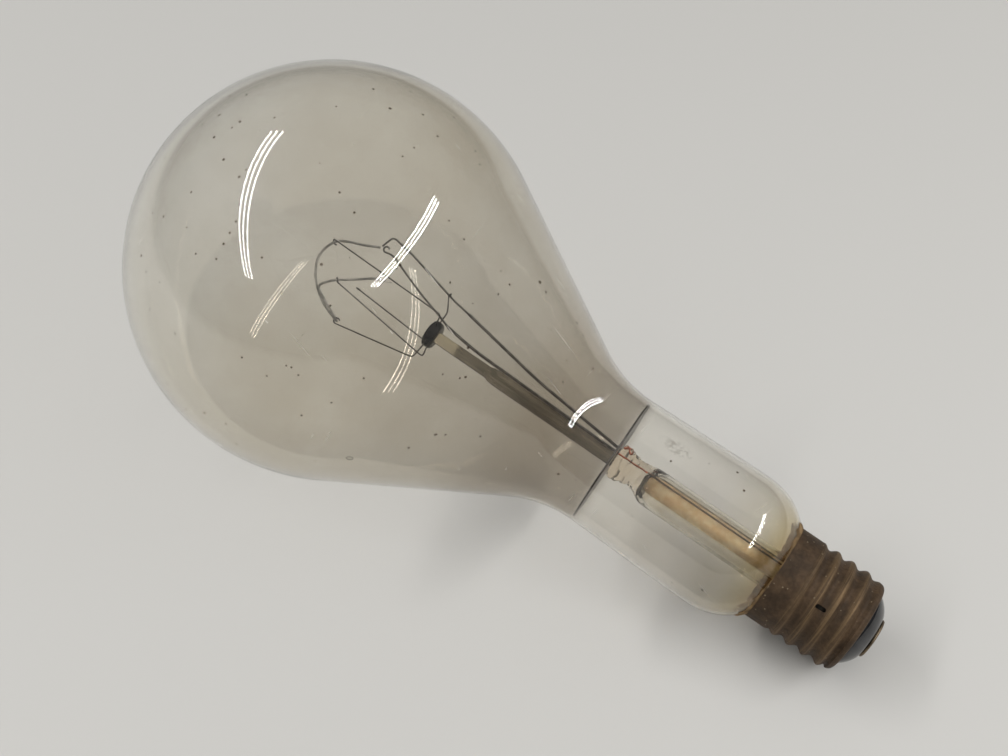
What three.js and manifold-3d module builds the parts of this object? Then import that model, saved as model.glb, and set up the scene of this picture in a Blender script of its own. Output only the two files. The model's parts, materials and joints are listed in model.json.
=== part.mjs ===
// A large clear pear-shaped filament lamp with a mogul screw base, burnt out and lying on its side.
// Millimetres, +Z up. Each piece is drawn with the lamp upright, base down: the centre contact's face is at
// height 0 and the crown of the globe at overallLength. The whole lamp is then laid down on its globe and shell.
// Angles go round the lamp's axis in degrees, from the side that faces up when the lamp lies down towards +Y.

import * as THREE from "three";
import { mergeVertices } from "three/addons/utils/BufferGeometryUtils.js";
import Module from "manifold-3d";

// Blown bulb
const overallLength = 330;
const globeRadius = 82.55;
const glassWall = 1.0;
const coneHalfAngle = 30;
const coneFillet = 50;
const neckRadius = 27.4;
const neckSwell = 1.0; // how much fuller the neck is just above its shoulder
const neckSwellHeight = 72;
const shoulderHeight = 63.5; // where the neck starts to draw in
const shoulderLength = 27; // long half-axis of the drawn-in quarter ellipse
const sealRadius = 15.6; // outside of the neck's end, inside the base
const sealHeight = 29.5;

// Screw base
const shellSheet = 0.5;
const shellRimHeight = 43;
const threadRadius = 19.75; // over the crests
const skirtStep = 0.25; // how far the crests stand proud of the plain skirt
const skirtRadius = threadRadius - skirtStep;
const skirtLength = 8;
const threadDepth = 1.6;
const threadPitch = 6.35;
const threadCrestHeight = 20.4; // a crest's height at angle 0
const threadRunOut = 3;
const shellLipRadius = 15.3;
const shellLipHeight = 6.6;
const slotLength = 4.2;
const slotWidth = 1.7;
const slotHeight = 23.5;
const slotAngle = -40;
const cementDepth = 12;
const cementBead = 1.2; // how far the cement stands above the rim
const insulatorTop = 11;
const contactRadius = 8;
const contactThickness = 1.2;
const contactHole = 1.5;
const solderSink = 0.1;

// Glass stem
const stemWall = 1.2;
const boreClearance = 0.3; // round the outer leads
const flareLength = 16.5;
const pinchTop = 115.5;
const pinchLength = 13.5; // solid glass
const pinchDrawIn = 4; // round tube to flat pinch
const pinchShoulder = 2.0; // glass beyond the leads at its wide top
const pinchNeck = 0.75; // glass beyond the leads where it is narrowest
const pinchFace = 0.3; // glass beyond the leads on its flat sides
const pinchAngle = 54; // direction of its width
const exhaustRadius = 3.4;
const exhaustWall = 1.1;
const exhaustTipHeight = 20;
const exhaustPortRadius = 1.2;

// Mount: the rod, its button and the wires stand a little off the lamp's axis
const mountOffset = 1.0;
const mountOffsetAngle = 54;
const rodRadius = 3.25;
const rodTipRadius = 2.4;
const rodStepDrop = 24.2; // its step below the button
const rodStepLength = 4;
const rodSocket = 3; // depth in the pinch
const buttonRadius = 5.65;
const buttonThickness = 4.6;
const buttonDrop = 48.2; // its underside below the globe's centre
const buttonRound = 1.5;
const discEdgeGap = 0.6; // to the neck's inside
const discThickness = 0.5;
const discGap = 0.6; // above the pinch

// Wires and filament
const leadRadius = 0.6;
const leadClearance = 0.5; // to the glass rod
const leadTipRadius = 0.4;
const sealWireRadius = 0.35;
const supportRadius = 0.3;
const stubDepth = 1.8; // how deep a support sits in the button
const coilRadius = 0.55;
const curlSweep = 250;

// Clearances
const fuseGap = 0.1; // between fused glass, cement and the metal in it
const curlGap = 0.3; // between a curled wire's end and the coil
const discClearance = 0.35;

// Facets round each turned piece
const bulbSides = 36;
const shellSides = 30;
const baseSides = 28;
const stemSides = 20;
const wireSides = 6;

const wasm = await Module();
wasm.setup();
const { degToRad } = THREE.MathUtils;

// Heights that follow from the sizes above
const lightCentre = overallLength - globeRadius; // the globe's centre
const buttonHeight = lightCentre - buttonDrop;
const rodStepHeight = buttonHeight - rodStepDrop;

// Where the two leads pass the pinch, and the stem that goes round them
const leadA = { distance: rodRadius + leadRadius + leadClearance, angle: 0 };
const leadB = { distance: rodRadius + leadRadius + 2 * leadClearance, angle: 84 };
const boreRadius = leadB.distance + mountOffset + sealWireRadius + boreClearance;
const stemRadius = boreRadius + stemWall;
const pinchWidth = 2 * (leadB.distance + pinchShoulder);
const pinchNeckWidth = 2 * (leadB.distance + pinchNeck);
const pinchThickness = 2 * (leadB.distance + pinchFace);

// A point at a height, a distance from the axis and an angle round it.
function around(height, distance, angle) {
  const turn = degToRad(angle);
  return new THREE.Vector3(distance * Math.cos(turn), distance * Math.sin(turn), height);
}

// Turns a section of (radius, height) points round the axis; a flat facet faces away from angle 0.
function revolve(section, sides) {
  const loop = THREE.ShapeUtils.area(section) > 0 ? [...section] : [...section].reverse();
  const closesOnAxis = loop[0].x === 0 && loop.at(-1).x === 0;
  if (!closesOnAxis) loop.push(loop[0].clone());
  return new THREE.LatheGeometry(loop, sides, Math.PI / sides).rotateX(Math.PI / 2);
}

// Shorthand for a list of (radius, height) pairs.
function section(...pairs) {
  return pairs.map(([radius, height]) => new THREE.Vector2(radius, height));
}

// A wire's path whose rings fall on its own points, so that straight stretches take none.
class BentWire extends THREE.Curve {
  constructor(points) {
    super();
    this.points = points;
  }
  getPointAt(u) {
    return this.points[Math.round(u * (this.points.length - 1))].clone();
  }
  getTangentAt(u) {
    const last = this.points.length - 1;
    const here = Math.round(u * last);
    const before = this.points[Math.max(here - 1, 0)];
    const after = this.points[Math.min(here + 1, last)];
    const at = this.points[here];
    const into = at.clone().sub(before).normalize();
    const out = after.clone().sub(at).normalize();
    return into.add(out).normalize();
  }
}

// A round wire along a list of points.
function wire(points, radius, sides = wireSides) {
  const ring = [];
  for (let i = 0; i < sides; i++) {
    const turn = (2 * Math.PI * i) / sides;
    ring.push(new THREE.Vector2(radius * Math.cos(turn), radius * Math.sin(turn)));
  }
  return new THREE.ExtrudeGeometry(new THREE.Shape(ring), {
    steps: points.length - 1,
    extrudePath: new BentWire(points),
  });
}

// Rounds the inner corners of a wire's route.
function bent(route, bendRadius, steps = 3) {
  const points = [route[0]];
  for (let i = 1; i < route.length - 1; i++) {
    const corner = route[i];
    const reachIn = Math.min(bendRadius / corner.distanceTo(route[i - 1]), 0.45);
    const reachOut = Math.min(bendRadius / corner.distanceTo(route[i + 1]), 0.45);
    const from = corner.clone().lerp(route[i - 1], reachIn);
    const to = corner.clone().lerp(route[i + 1], reachOut);
    points.push(...new THREE.QuadraticBezierCurve3(from, corner, to).getPoints(steps));
  }
  points.push(route.at(-1));
  return points;
}

// The curled end of a wire that comes from a point and goes most of the way round a coil.
function curl(from, centre, along, radius, sweep = curlSweep, steps = 9) {
  const toward = from.clone().sub(centre).projectOnPlane(along);
  const reach = toward.length();
  toward.normalize();
  const side = along.clone().cross(toward).normalize();
  const start = Math.acos(Math.min(radius / reach, 1));
  const points = [];
  for (let i = 0; i <= steps; i++) {
    const turn = start + (degToRad(sweep) * i) / steps;
    const out = toward.clone().multiplyScalar(radius * Math.cos(turn));
    points.push(out.addScaledVector(side, radius * Math.sin(turn)).add(centre));
  }
  return points;
}

// A geometry as a closed solid that can be cut.
function toSolid(geometry) {
  const bare = geometry.clone();
  bare.deleteAttribute("normal");
  bare.deleteAttribute("uv");
  const merged = mergeVertices(bare, 1e-4);
  const corners = merged.index.array;
  const triangles = [];
  for (let i = 0; i < corners.length; i += 3) {
    const [a, b, c] = [corners[i], corners[i + 1], corners[i + 2]];
    if (a !== b && b !== c && c !== a) triangles.push(a, b, c);
  }
  const vertProperties = merged.attributes.position.array;
  return new wasm.Manifold(
    new wasm.Mesh({ numProp: 3, vertProperties, triVerts: new Uint32Array(triangles) }),
  );
}

// A geometry with other geometries cut out of it.
function cut(geometry, ...tools) {
  let solid = toSolid(geometry);
  for (const tool of tools) solid = solid.subtract(toSolid(tool));
  const made = solid.getMesh();
  const result = new THREE.BufferGeometry();
  result.setAttribute("position", new THREE.BufferAttribute(made.vertProperties, 3));
  result.setIndex(new THREE.BufferAttribute(made.triVerts, 1));
  return result;
}

// Materials
const clearGlass = new THREE.MeshStandardMaterial({
  color: 0xc9c6ba,
  roughness: 0.05,
  metalness: 0,
  transparent: true,
  opacity: 0.3,
});
const stainedGlass = new THREE.MeshStandardMaterial({
  color: 0xa98a55,
  roughness: 0.2,
  metalness: 0,
  transparent: true,
  opacity: 0.6,
});
const blackGlass = new THREE.MeshStandardMaterial({ color: 0x17181c, roughness: 0.25, metalness: 0 });
const mica = new THREE.MeshStandardMaterial({ color: 0x77726a, roughness: 0.4, metalness: 0 });
const nickel = new THREE.MeshStandardMaterial({ color: 0x5c5a58, roughness: 0.35, metalness: 1 });
const molybdenum = new THREE.MeshStandardMaterial({ color: 0x4a4846, roughness: 0.4, metalness: 1 });
const tungsten = new THREE.MeshStandardMaterial({ color: 0x6e6d6c, roughness: 0.45, metalness: 1 });
const copper = new THREE.MeshStandardMaterial({ color: 0x9a4a33, roughness: 0.4, metalness: 1 });
const brass = new THREE.MeshStandardMaterial({ color: 0x6d4f2c, roughness: 0.45, metalness: 1 });
const cement = new THREE.MeshStandardMaterial({ color: 0x9c7a45, roughness: 0.9, metalness: 0 });
const solder = new THREE.MeshStandardMaterial({ color: 0x8d8d8a, roughness: 0.5, metalness: 1 });

// Everything of the lamp is in one group, and what stands on the pinch is in a second one inside it.
const lamp = new THREE.Group();
const mount = new THREE.Group();
mount.position.copy(around(0, mountOffset, mountOffsetAngle));
lamp.add(mount);

function addTo(group, name, geometry, material) {
  const mesh = new THREE.Mesh(geometry, material);
  mesh.name = name;
  group.add(mesh);
  return mesh;
}

// Blown bulb: a globe, a cone that leaves it at a tangent, a long neck and a drawn-in end.
// The same outline moved inwards by the wall gives the inside. It runs from the crown to the neck's end.
function bulbOutline(inset, globeSteps) {
  const radius = globeRadius - inset;
  const slope = degToRad(coneHalfAngle);
  const neck = neckRadius - inset;
  const fillet = coneFillet + inset;
  const points = [];
  for (let i = 0; i <= globeSteps; i++) {
    const turn = ((Math.PI / 2 + slope) * i) / globeSteps;
    points.push(new THREE.Vector2(radius * Math.sin(turn), lightCentre + radius * Math.cos(turn)));
  }
  points[0].x = 0;
  const coneEnd = points.at(-1);
  const meetHeight = coneEnd.y - (coneEnd.x - neck) / Math.tan(slope);
  const filletCentre = new THREE.Vector2(neck + fillet, meetHeight - fillet * Math.tan(slope / 2));
  const filletSteps = 4;
  for (let i = 0; i <= filletSteps; i++) {
    const turn = Math.PI - slope * (1 - i / filletSteps);
    points.push(
      new THREE.Vector2(
        filletCentre.x + fillet * Math.cos(turn),
        filletCentre.y + fillet * Math.sin(turn),
      ),
    );
  }
  points.push(new THREE.Vector2(neck + neckSwell, neckSwellHeight));
  const shoulderRadius = neck + neckSwell;
  const sealInside = sealRadius - inset;
  const shoulderReach = shoulderLength - inset;
  const bendTop = shoulderHeight - (shellRimHeight + 0.5);
  const shoulderSteps = 5;
  for (let i = 0; i <= shoulderSteps; i++) {
    const drop = bendTop * Math.sin((Math.PI / 2) * (i / shoulderSteps));
    const share = drop / shoulderReach;
    points.push(new THREE.Vector2(shoulderRadius * Math.sqrt(1 - share * share), shoulderHeight - drop));
  }
  const shoulderEnd = points.at(-1);
  const drawIn = (shoulderEnd.x - sealInside) * 0.87;
  const corner = new THREE.Vector2(sealInside, shoulderEnd.y - drawIn);
  const straight = new THREE.Vector2(sealInside, corner.y - drawIn);
  points.push(...new THREE.QuadraticBezierCurve(shoulderEnd, corner, straight).getPoints(3).slice(1));
  points.push(new THREE.Vector2(sealInside, sealHeight));
  return points;
}
const bulbOutside = bulbOutline(0, 16);
const bulbInside = bulbOutline(glassWall, 12);
const bulb = addTo(
  lamp,
  "glass_bulb",
  revolve([...bulbOutside, ...bulbInside.reverse()], bulbSides),
  clearGlass,
);

// Screw shell: a sheet drawn to a cup, its thread rolled in and its end turned in over the insulator.
const threadTop = shellRimHeight - skirtLength;
const threadBottom = shellLipHeight + 2.2;
const threadRows = Math.round((5 * (threadTop - threadBottom)) / threadPitch);

// The share of the full thread at a height: it runs out at both ends.
function threadShare(height) {
  const fromTop = THREE.MathUtils.smoothstep(threadTop - height, 0, threadRunOut);
  const fromBottom = THREE.MathUtils.smoothstep(height - threadBottom, -0.5, threadRunOut / 2);
  return Math.min(fromTop, fromBottom);
}

// One side of the sheet from the lip to the rim, moved inwards by a share of its thickness.
function shellSide(inset) {
  const points = section(
    [shellLipRadius, shellLipHeight + inset],
    [threadRadius - 2.2 - inset / 2, shellLipHeight + 0.3 + inset],
    [threadRadius - 0.95 - inset, shellLipHeight + 1.2 + inset / 2],
  );
  for (let i = 0; i <= threadRows; i++) {
    const height = threadBottom + ((threadTop - threadBottom) * i) / threadRows;
    points.push(new THREE.Vector2(skirtRadius - inset, height));
  }
  points.push(new THREE.Vector2(skirtRadius - inset, shellRimHeight));
  return points;
}
function rollThread(geometry) {
  const place = geometry.attributes.position;
  for (let i = 0; i < place.count; i++) {
    const [x, y, height] = [place.getX(i), place.getY(i), place.getZ(i)];
    if (height < threadBottom - 0.01 || height > threadTop + 0.01) continue;
    const share = threadShare(height);
    const turns = (height - threadCrestHeight) / threadPitch - Math.atan2(y, x) / (2 * Math.PI);
    const sink = (threadDepth * (1 - Math.cos(2 * Math.PI * turns))) / 2;
    const endDraw = 0.75 * (1 - THREE.MathUtils.smoothstep(height - threadBottom, 0, threadRunOut));
    const was = Math.hypot(x, y);
    const now = was + share * (threadRadius - skirtRadius - sink) - endDraw;
    place.setXY(i, (x * now) / was, (y * now) / was);
  }
  return geometry;
}
function slotTool() {
  const half = slotWidth / 2;
  const straight = (slotLength - slotWidth) / 2;
  const shape = new THREE.Shape();
  shape.absarc(straight, 0, half, -Math.PI / 2, Math.PI / 2);
  shape.absarc(-straight, 0, half, Math.PI / 2, 1.5 * Math.PI);
  const tool = new THREE.ExtrudeGeometry(shape, { depth: 6, bevelEnabled: false, curveSegments: 4 });
  tool.rotateY(Math.PI / 2);
  tool.translate(threadRadius - 4, 0, slotHeight);
  return tool.rotateZ(degToRad(slotAngle));
}
const shellSheetBody = rollThread(
  revolve([...shellSide(0), ...shellSide(shellSheet).reverse()], shellSides),
);
const shell = addTo(lamp, "screw_shell", cut(shellSheetBody, slotTool()), brass);

// Cement: fills the narrow ring between the drawn-in neck and the skirt, with a bead above the rim.
function bulbRadiusAt(height) {
  const below = bulbOutside.findIndex((p, i) => i > 20 && p.y <= height);
  const [high, low] = [bulbOutside[below - 1], bulbOutside[below]];
  const share = (high.y - height) / (high.y - low.y);
  return THREE.MathUtils.lerp(high.x, low.x, share);
}
const cementBottom = shellRimHeight - cementDepth;
const cementInThread = threadRadius - threadDepth - shellSheet - 2 * fuseGap;
const cementInSkirt = skirtRadius - shellSheet - 2 * fuseGap;
const beadTop = shellRimHeight + cementBead;
const cementInside = [cementBottom, shellRimHeight - 5, shellRimHeight - 3, shellRimHeight - 1].map(
  (height) => new THREE.Vector2(bulbRadiusAt(height) + 2 * fuseGap, height),
);
cementInside.push(new THREE.Vector2(bulbRadiusAt(shellRimHeight) + 2 * fuseGap, shellRimHeight));
cementInside.push(new THREE.Vector2(bulbRadiusAt(beadTop) + 2 * fuseGap, beadTop));
const cementOutside = section(
  [skirtRadius + 0.6, beadTop - 0.35],
  [skirtRadius - 0.1, shellRimHeight + fuseGap],
  [cementInSkirt, shellRimHeight + fuseGap],
  [cementInSkirt, threadTop + 0.4],
  [cementInThread, threadTop - threadRunOut / 2],
  [cementInThread, cementBottom],
);
addTo(lamp, "base_cement", revolve([...cementInside, ...cementOutside], bulbSides), cement);

// Insulator: black glass cast in the shell's end, domed outside, with a hole for the centre wire.
const contactSeat = contactThickness + fuseGap;
const insulatorInside = threadRadius - threadDepth - shellSheet - 1.4;
const leadHole = sealWireRadius + 0.5;
addTo(
  lamp,
  "base_insulator",
  revolve(
    section(
      [leadHole, contactSeat],
      [contactRadius + 0.5, contactSeat],
      [contactRadius + 3, contactSeat + 1.0],
      [contactRadius + 5.4, contactSeat + 2.9],
      [shellLipRadius - 0.6, shellLipHeight - 0.9],
      [shellLipRadius - 2 * fuseGap, shellLipHeight],
      [shellLipRadius - 2 * fuseGap, shellLipHeight + shellSheet + fuseGap],
      [insulatorInside, shellLipHeight + shellSheet + 1.6],
      [insulatorInside, insulatorTop],
      [leadHole, insulatorTop],
    ),
    baseSides,
  ),
  blackGlass,
);

// Centre contact: a flat washer on the insulator, its hole filled with solder.
addTo(
  lamp,
  "centre_contact",
  revolve(
    section(
      [contactHole, 0],
      [contactRadius - 0.4, 0],
      [contactRadius, 0.4],
      [contactRadius, contactThickness],
      [contactHole, contactThickness],
    ),
    baseSides,
  ),
  brass,
);
addTo(
  lamp,
  "centre_solder",
  revolve(
    section(
      [0, solderSink],
      [contactHole - 2 * fuseGap, solderSink + 0.1],
      [contactHole - 2 * fuseGap, contactThickness],
      [0, contactThickness + fuseGap],
    ),
    12,
  ),
  solder,
);

// Stem: a tube flared at the foot, where it is fused into the neck, and pinched solid at the top.
const flareRadius = sealRadius - glassWall - fuseGap;
const flareFoot = sealHeight + fuseGap;
const flareTop = flareFoot + flareLength;
const pinchFoot = pinchTop - pinchLength;

// The flare's section from foot to tube, for the outside or for the bore.
function flareSide(foot, tube) {
  const steps = 5;
  const points = [];
  for (let i = 0; i <= steps; i++) {
    const turn = (Math.PI / 2) * (i / steps);
    points.push([tube + (foot - tube) * (1 - Math.sin(turn)), flareFoot + flareLength * (1 - Math.cos(turn))]);
  }
  return points;
}
// Squeezes a round bar to the pinch's flat section, more the higher it is.
function squeeze(geometry) {
  const place = geometry.attributes.position;
  const across = degToRad(pinchAngle);
  const [offX, offY] = [mount.position.x, mount.position.y];
  for (let i = 0; i < place.count; i++) {
    const height = place.getZ(i);
    const share = THREE.MathUtils.smoothstep(height, pinchFoot - pinchDrawIn, pinchFoot + pinchDrawIn);
    if (share === 0) continue;
    const toShoulder = THREE.MathUtils.smoothstep(height, pinchFoot + pinchDrawIn, pinchTop - 2);
    const width = THREE.MathUtils.lerp(pinchNeckWidth, pinchWidth, toShoulder) / 2;
    const distance = Math.hypot(place.getX(i), place.getY(i));
    const turn = Math.atan2(place.getY(i), place.getX(i)) - across;
    const [c, s] = [Math.cos(turn), Math.sin(turn)];
    const square = (Math.abs(c) ** 3 + Math.abs(s) ** 3) ** (-1 / 3);
    const reach = distance / stemRadius;
    const flatX = reach * square * c * width;
    const flatY = (reach * square * s * pinchThickness) / 2;
    const x = THREE.MathUtils.lerp(distance * c, flatX, share);
    const y = THREE.MathUtils.lerp(distance * s, flatY, share);
    place.setXY(
      i,
      x * Math.cos(across) - y * Math.sin(across) + share * offX,
      x * Math.sin(across) + y * Math.cos(across) + share * offY,
    );
  }
  return geometry;
}
const stemOutside = squeeze(
  revolve(
    section(
      [0, flareFoot],
      ...flareSide(flareRadius, stemRadius),
      [stemRadius, pinchFoot - pinchDrawIn],
      [stemRadius, pinchFoot - 1],
      [stemRadius, pinchFoot + 2],
      [stemRadius, pinchFoot + pinchDrawIn],
      [stemRadius, pinchFoot + 7.5],
      [stemRadius, pinchTop - 1.8],
      [stemRadius * 0.9, pinchTop - 0.4],
      [stemRadius * 0.75, pinchTop],
      [0, pinchTop],
    ),
    stemSides,
  ),
);
const stemBore = revolve(
  section(
    [0, flareFoot - 1],
    [flareRadius - stemWall, flareFoot - 1],
    ...flareSide(flareRadius - stemWall, boreRadius),
    [boreRadius, pinchFoot - 2],
    [boreRadius - 1.5, pinchFoot - 0.4],
    [exhaustRadius + mountOffset, pinchFoot],
    [0, pinchFoot],
  ),
  stemSides,
);
function stemChannel(lead) {
  const from = around(pinchFoot - 3, lead.distance, lead.angle).add(mount.position);
  const to = around(pinchTop + 1, lead.distance, lead.angle).add(mount.position);
  return wire([from, to], sealWireRadius + fuseGap, wireSides);
}
const rodSeat = pinchTop - rodSocket;
const portHeight = pinchFoot + exhaustPortRadius * 2;
const portUp = [around(pinchFoot - 0.5, 0, 0), around(portHeight, 0, 0)];
const portOut = [around(portHeight, 0, 0), around(portHeight, stemRadius + 2, pinchAngle - 90)];
const atMount = (points) => points.map((p) => p.clone().add(mount.position));
addTo(
  lamp,
  "stem_flare",
  cut(
    stemOutside,
    stemBore,
    stemChannel(leadA),
    stemChannel(leadB),
    wire(atMount([around(rodSeat, 0, 0), around(pinchTop + 1, 0, 0)]), rodRadius + fuseGap, stemSides),
    wire(atMount(portUp), exhaustPortRadius, 8),
    wire(atMount(portOut), exhaustPortRadius, 8),
  ),
  clearGlass,
);

// Exhaust tube: open into the pinch's port at the top and melted shut at its foot.
const exhaustTop = pinchFoot - 2 * fuseGap;
const exhaustBore = exhaustRadius - exhaustWall;
addTo(
  mount,
  "exhaust_tube",
  revolve(
    section(
      [0, exhaustTipHeight],
      [exhaustRadius * 0.4, exhaustTipHeight + 0.8],
      [exhaustRadius * 0.8, exhaustTipHeight + 3.6],
      [exhaustRadius, exhaustTipHeight + 8],
      [exhaustRadius, exhaustTop],
      [exhaustBore, exhaustTop],
      [exhaustBore, exhaustTipHeight + 9],
      [exhaustBore * 0.5, exhaustTipHeight + 5],
      [0, exhaustTipHeight + 3.5],
    ),
    16,
  ),
  stainedGlass,
);

// Glass rod on the pinch, drawn thinner above a step.
const rodTop = buttonHeight + 1.2;
addTo(
  mount,
  "arbor_rod",
  revolve(
    section(
      [0, rodSeat + fuseGap],
      [rodRadius, rodSeat + fuseGap],
      [rodRadius, rodStepHeight - rodStepLength],
      [(rodRadius + rodTipRadius) / 2 + 0.15, rodStepHeight - rodStepLength / 3],
      [rodTipRadius, rodStepHeight],
      [rodTipRadius, rodTop],
      [0, rodTop],
    ),
    stemSides,
  ),
  clearGlass,
);

// Mica disc across the neck, threaded on the rod and the two leads.
const discHeight = pinchTop + discGap;
const discRadius = bulbRadiusAt(discHeight) - glassWall - discEdgeGap;
function discGeometry() {
  const shape = new THREE.Shape();
  shape.absarc(0, 0, discRadius, 0, 2 * Math.PI);
  const holes = [
    [around(0, 0, 0), rodRadius],
    [around(0, leadA.distance, leadA.angle), leadRadius],
    [around(0, leadB.distance, leadB.angle), leadRadius],
  ];
  let disc = new THREE.ExtrudeGeometry(shape, {
    depth: discThickness,
    bevelEnabled: false,
    curveSegments: bulbSides,
  });
  disc.translate(0, 0, discHeight);
  const tools = holes.map(([centre, radius]) => {
    const foot = centre.clone().setZ(discHeight - 1).add(mount.position);
    const head = centre.clone().setZ(discHeight + discThickness + 1).add(mount.position);
    return wire([foot, head], radius + discClearance, 12);
  });
  return cut(disc, ...tools);
}
addTo(lamp, "heat_disc", discGeometry(), mica);

// Filament: a coil hung round the mount from lead tip B over three supports; it has burnt through near lead
// tip A, and what is left ends free. Its route is height from the globe's centre, distance and angle.
const coilRoute = [
  [-8.8, 16.7, 54],
  [-4.2, 14.5, 36],
  [0.4, 15, 12.5],
  [3.2, 16.7, -6],
  [4.6, 17.3, -31],
  [2.6, 17.7, -52],
  [-1.4, 17.7, -71],
  [-5.8, 17.4, -89],
  [-12, 17.2, -112],
  [-2, 14, -142],
  [6, 14, -172],
  [5.6, 15.2, 171],
  [3, 16.9, 156.5],
  [-3, 17.5, 141.5],
  [-9.2, 17.6, 127],
  [-16.5, 17.4, 117.5],
];
const atCentre = (height, distance, angle) => around(lightCentre + height, distance, angle);
const coil = new THREE.CatmullRomCurve3(coilRoute.map((at) => atCentre(...at)), false, "centripetal");
const coilSteps = 60;
addTo(mount, "filament", wire(coil.getSpacedPoints(coilSteps), coilRadius), tungsten);

// Where the coil is held: its point and direction at a place of its route.
function heldAt(place) {
  const t = place / (coilRoute.length - 1);
  return { centre: coil.getPoint(t), along: coil.getTangent(t) };
}

// Support wires: each stands out of the button, bends towards the globe and curls round the coil.
const stubHeight = buttonHeight + buttonThickness * 0.6;
const curlRadius = coilRadius + curlGap + supportRadius;
const supports = [
  { name: "support_wire_1", angle: -99, reach: 13, hold: heldAt(8) },
  { name: "support_wire_2", angle: -169, reach: 13, hold: heldAt(12) },
  { name: "support_wire_3", angle: 12, reach: 11, hold: heldAt(3) },
  {
    name: "support_wire_4",
    angle: 165,
    reach: 11,
    hold: { centre: atCentre(-6.4, 17.3, 150), along: around(0, 1, 60) },
  },
];
const stubs = [];
for (const support of supports) {
  const root = around(stubHeight, buttonRadius - stubDepth, support.angle);
  const bend = around(stubHeight, support.reach, support.angle);
  const { centre, along } = support.hold;
  const end = curl(bend, centre, along, curlRadius);
  addTo(mount, support.name, wire([...bent([root, bend, end[0]], 1.6), ...end.slice(1)], supportRadius), molybdenum);
  stubs.push([root, bend]);
}

// Leads: thick wires from the pinch, each with a thinner tip welded on.
const leadFoot = pinchTop + fuseGap;
const leadMiddle = (leadFoot + buttonHeight) / 2;
const leadTurns = {
  a: [
    around(leadFoot, leadA.distance, leadA.angle),
    around(buttonHeight - 15, buttonRadius - 0.25, 12.5),
    around(buttonHeight - 1.8, buttonRadius + 1.25, 20),
  ],
  b: [
    around(leadFoot, leadB.distance, leadB.angle),
    around(leadMiddle, 8.5, 69.5),
    around(buttonHeight - 4.8, buttonRadius + 8.85, 58.5),
  ],
};
addTo(mount, "inner_lead_a", wire(bent(leadTurns.a, 6), leadRadius, 8), nickel);
addTo(mount, "inner_lead_b", wire(bent(leadTurns.b, 6), leadRadius, 8), nickel);

// A weld's seam: the tip starts one gap beyond the lead's end.
function afterWeld(lead) {
  const [before, end] = lead.slice(-2);
  return end.clone().add(end.clone().sub(before).setLength(fuseGap));
}
const tipARoute = [
  afterWeld(leadTurns.a),
  around(buttonHeight + 3.2, buttonRadius + 2.75, 25.5),
  atCentre(-34.2, 10.5, 40.5),
  atCentre(-23, 14, 50),
  atCentre(-15, 17, 50),
];
const tipACurl = curl(tipARoute.at(-1), atCentre(-11.6, 17.4, 50), around(0, 1, 140), curlRadius);
const tipA = [...bent([...tipARoute, tipACurl[0]], 3), ...tipACurl.slice(1)];
addTo(mount, "lead_tip_a", wire(tipA, leadTipRadius), nickel);

const tipBEnd = coil.getPoint(0).add(around(-0.3, coilRadius + curlGap, coilRoute[0][2]));
const tipBRoute = [
  afterWeld(leadTurns.b),
  around(buttonHeight + 2.9, buttonRadius + 9.95, 58),
  atCentre(-20.4, 21.5, 54.5),
  atCentre(-10.8, 23, 54.5),
  tipBEnd,
];
addTo(mount, "lead_tip_b", wire(bent(tipBRoute, 1.6), leadTipRadius), nickel);

// Brace from the button that steadies lead tip B.
const braceAngle = 60;
const braceRoot = around(stubHeight, buttonRadius - stubDepth, braceAngle);
const braceBend = around(stubHeight, 10.5, braceAngle);
const braceHold = tipBRoute[1].clone().lerp(tipBRoute[2], 0.12);
const braceAlong = tipBRoute[2].clone().sub(tipBRoute[1]).normalize();
const braceCurl = curl(braceBend, braceHold, braceAlong, leadTipRadius + curlGap + supportRadius, 200);
const brace = [...bent([braceRoot, braceBend, braceCurl[0]], 1.2), ...braceCurl.slice(1)];
addTo(mount, "lead_brace", wire(brace, supportRadius), molybdenum);
stubs.push([braceRoot, braceBend]);

// Button: a bead of glass melted on the rod's end, with the wires set in its edge.
const buttonTop = buttonHeight + buttonThickness;
const button = revolve(
  section(
    [0, buttonHeight],
    [buttonRadius - buttonRound, buttonHeight],
    [buttonRadius - buttonRound * 0.3, buttonHeight + buttonRound * 0.3],
    [buttonRadius, buttonHeight + buttonRound],
    [buttonRadius, buttonTop - buttonRound],
    [buttonRadius - buttonRound * 0.3, buttonTop - buttonRound * 0.3],
    [buttonRadius - buttonRound, buttonTop],
    [0, buttonTop],
  ),
  stemSides,
);
const rodHole = wire([around(buttonHeight - 1, 0, 0), around(rodTop + fuseGap, 0, 0)], rodTipRadius + fuseGap, stemSides);
const stubHoles = stubs.map(([root, bend]) => {
  const floor = root.clone().lerp(bend, -fuseGap / root.distanceTo(bend));
  return wire([floor, bend], supportRadius + fuseGap, wireSides);
});
addTo(mount, "support_button", cut(button, rodHole, ...stubHoles), blackGlass);

// Seal wires in the pinch, and the outer leads from there down to the base.
function sealWire(lead) {
  return wire(
    [around(pinchFoot + fuseGap, lead.distance, lead.angle), around(pinchTop, lead.distance, lead.angle)],
    sealWireRadius,
    wireSides,
  );
}
addTo(mount, "seal_wire_a", sealWire(leadA), copper);
addTo(mount, "seal_wire_b", sealWire(leadB), copper);

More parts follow.
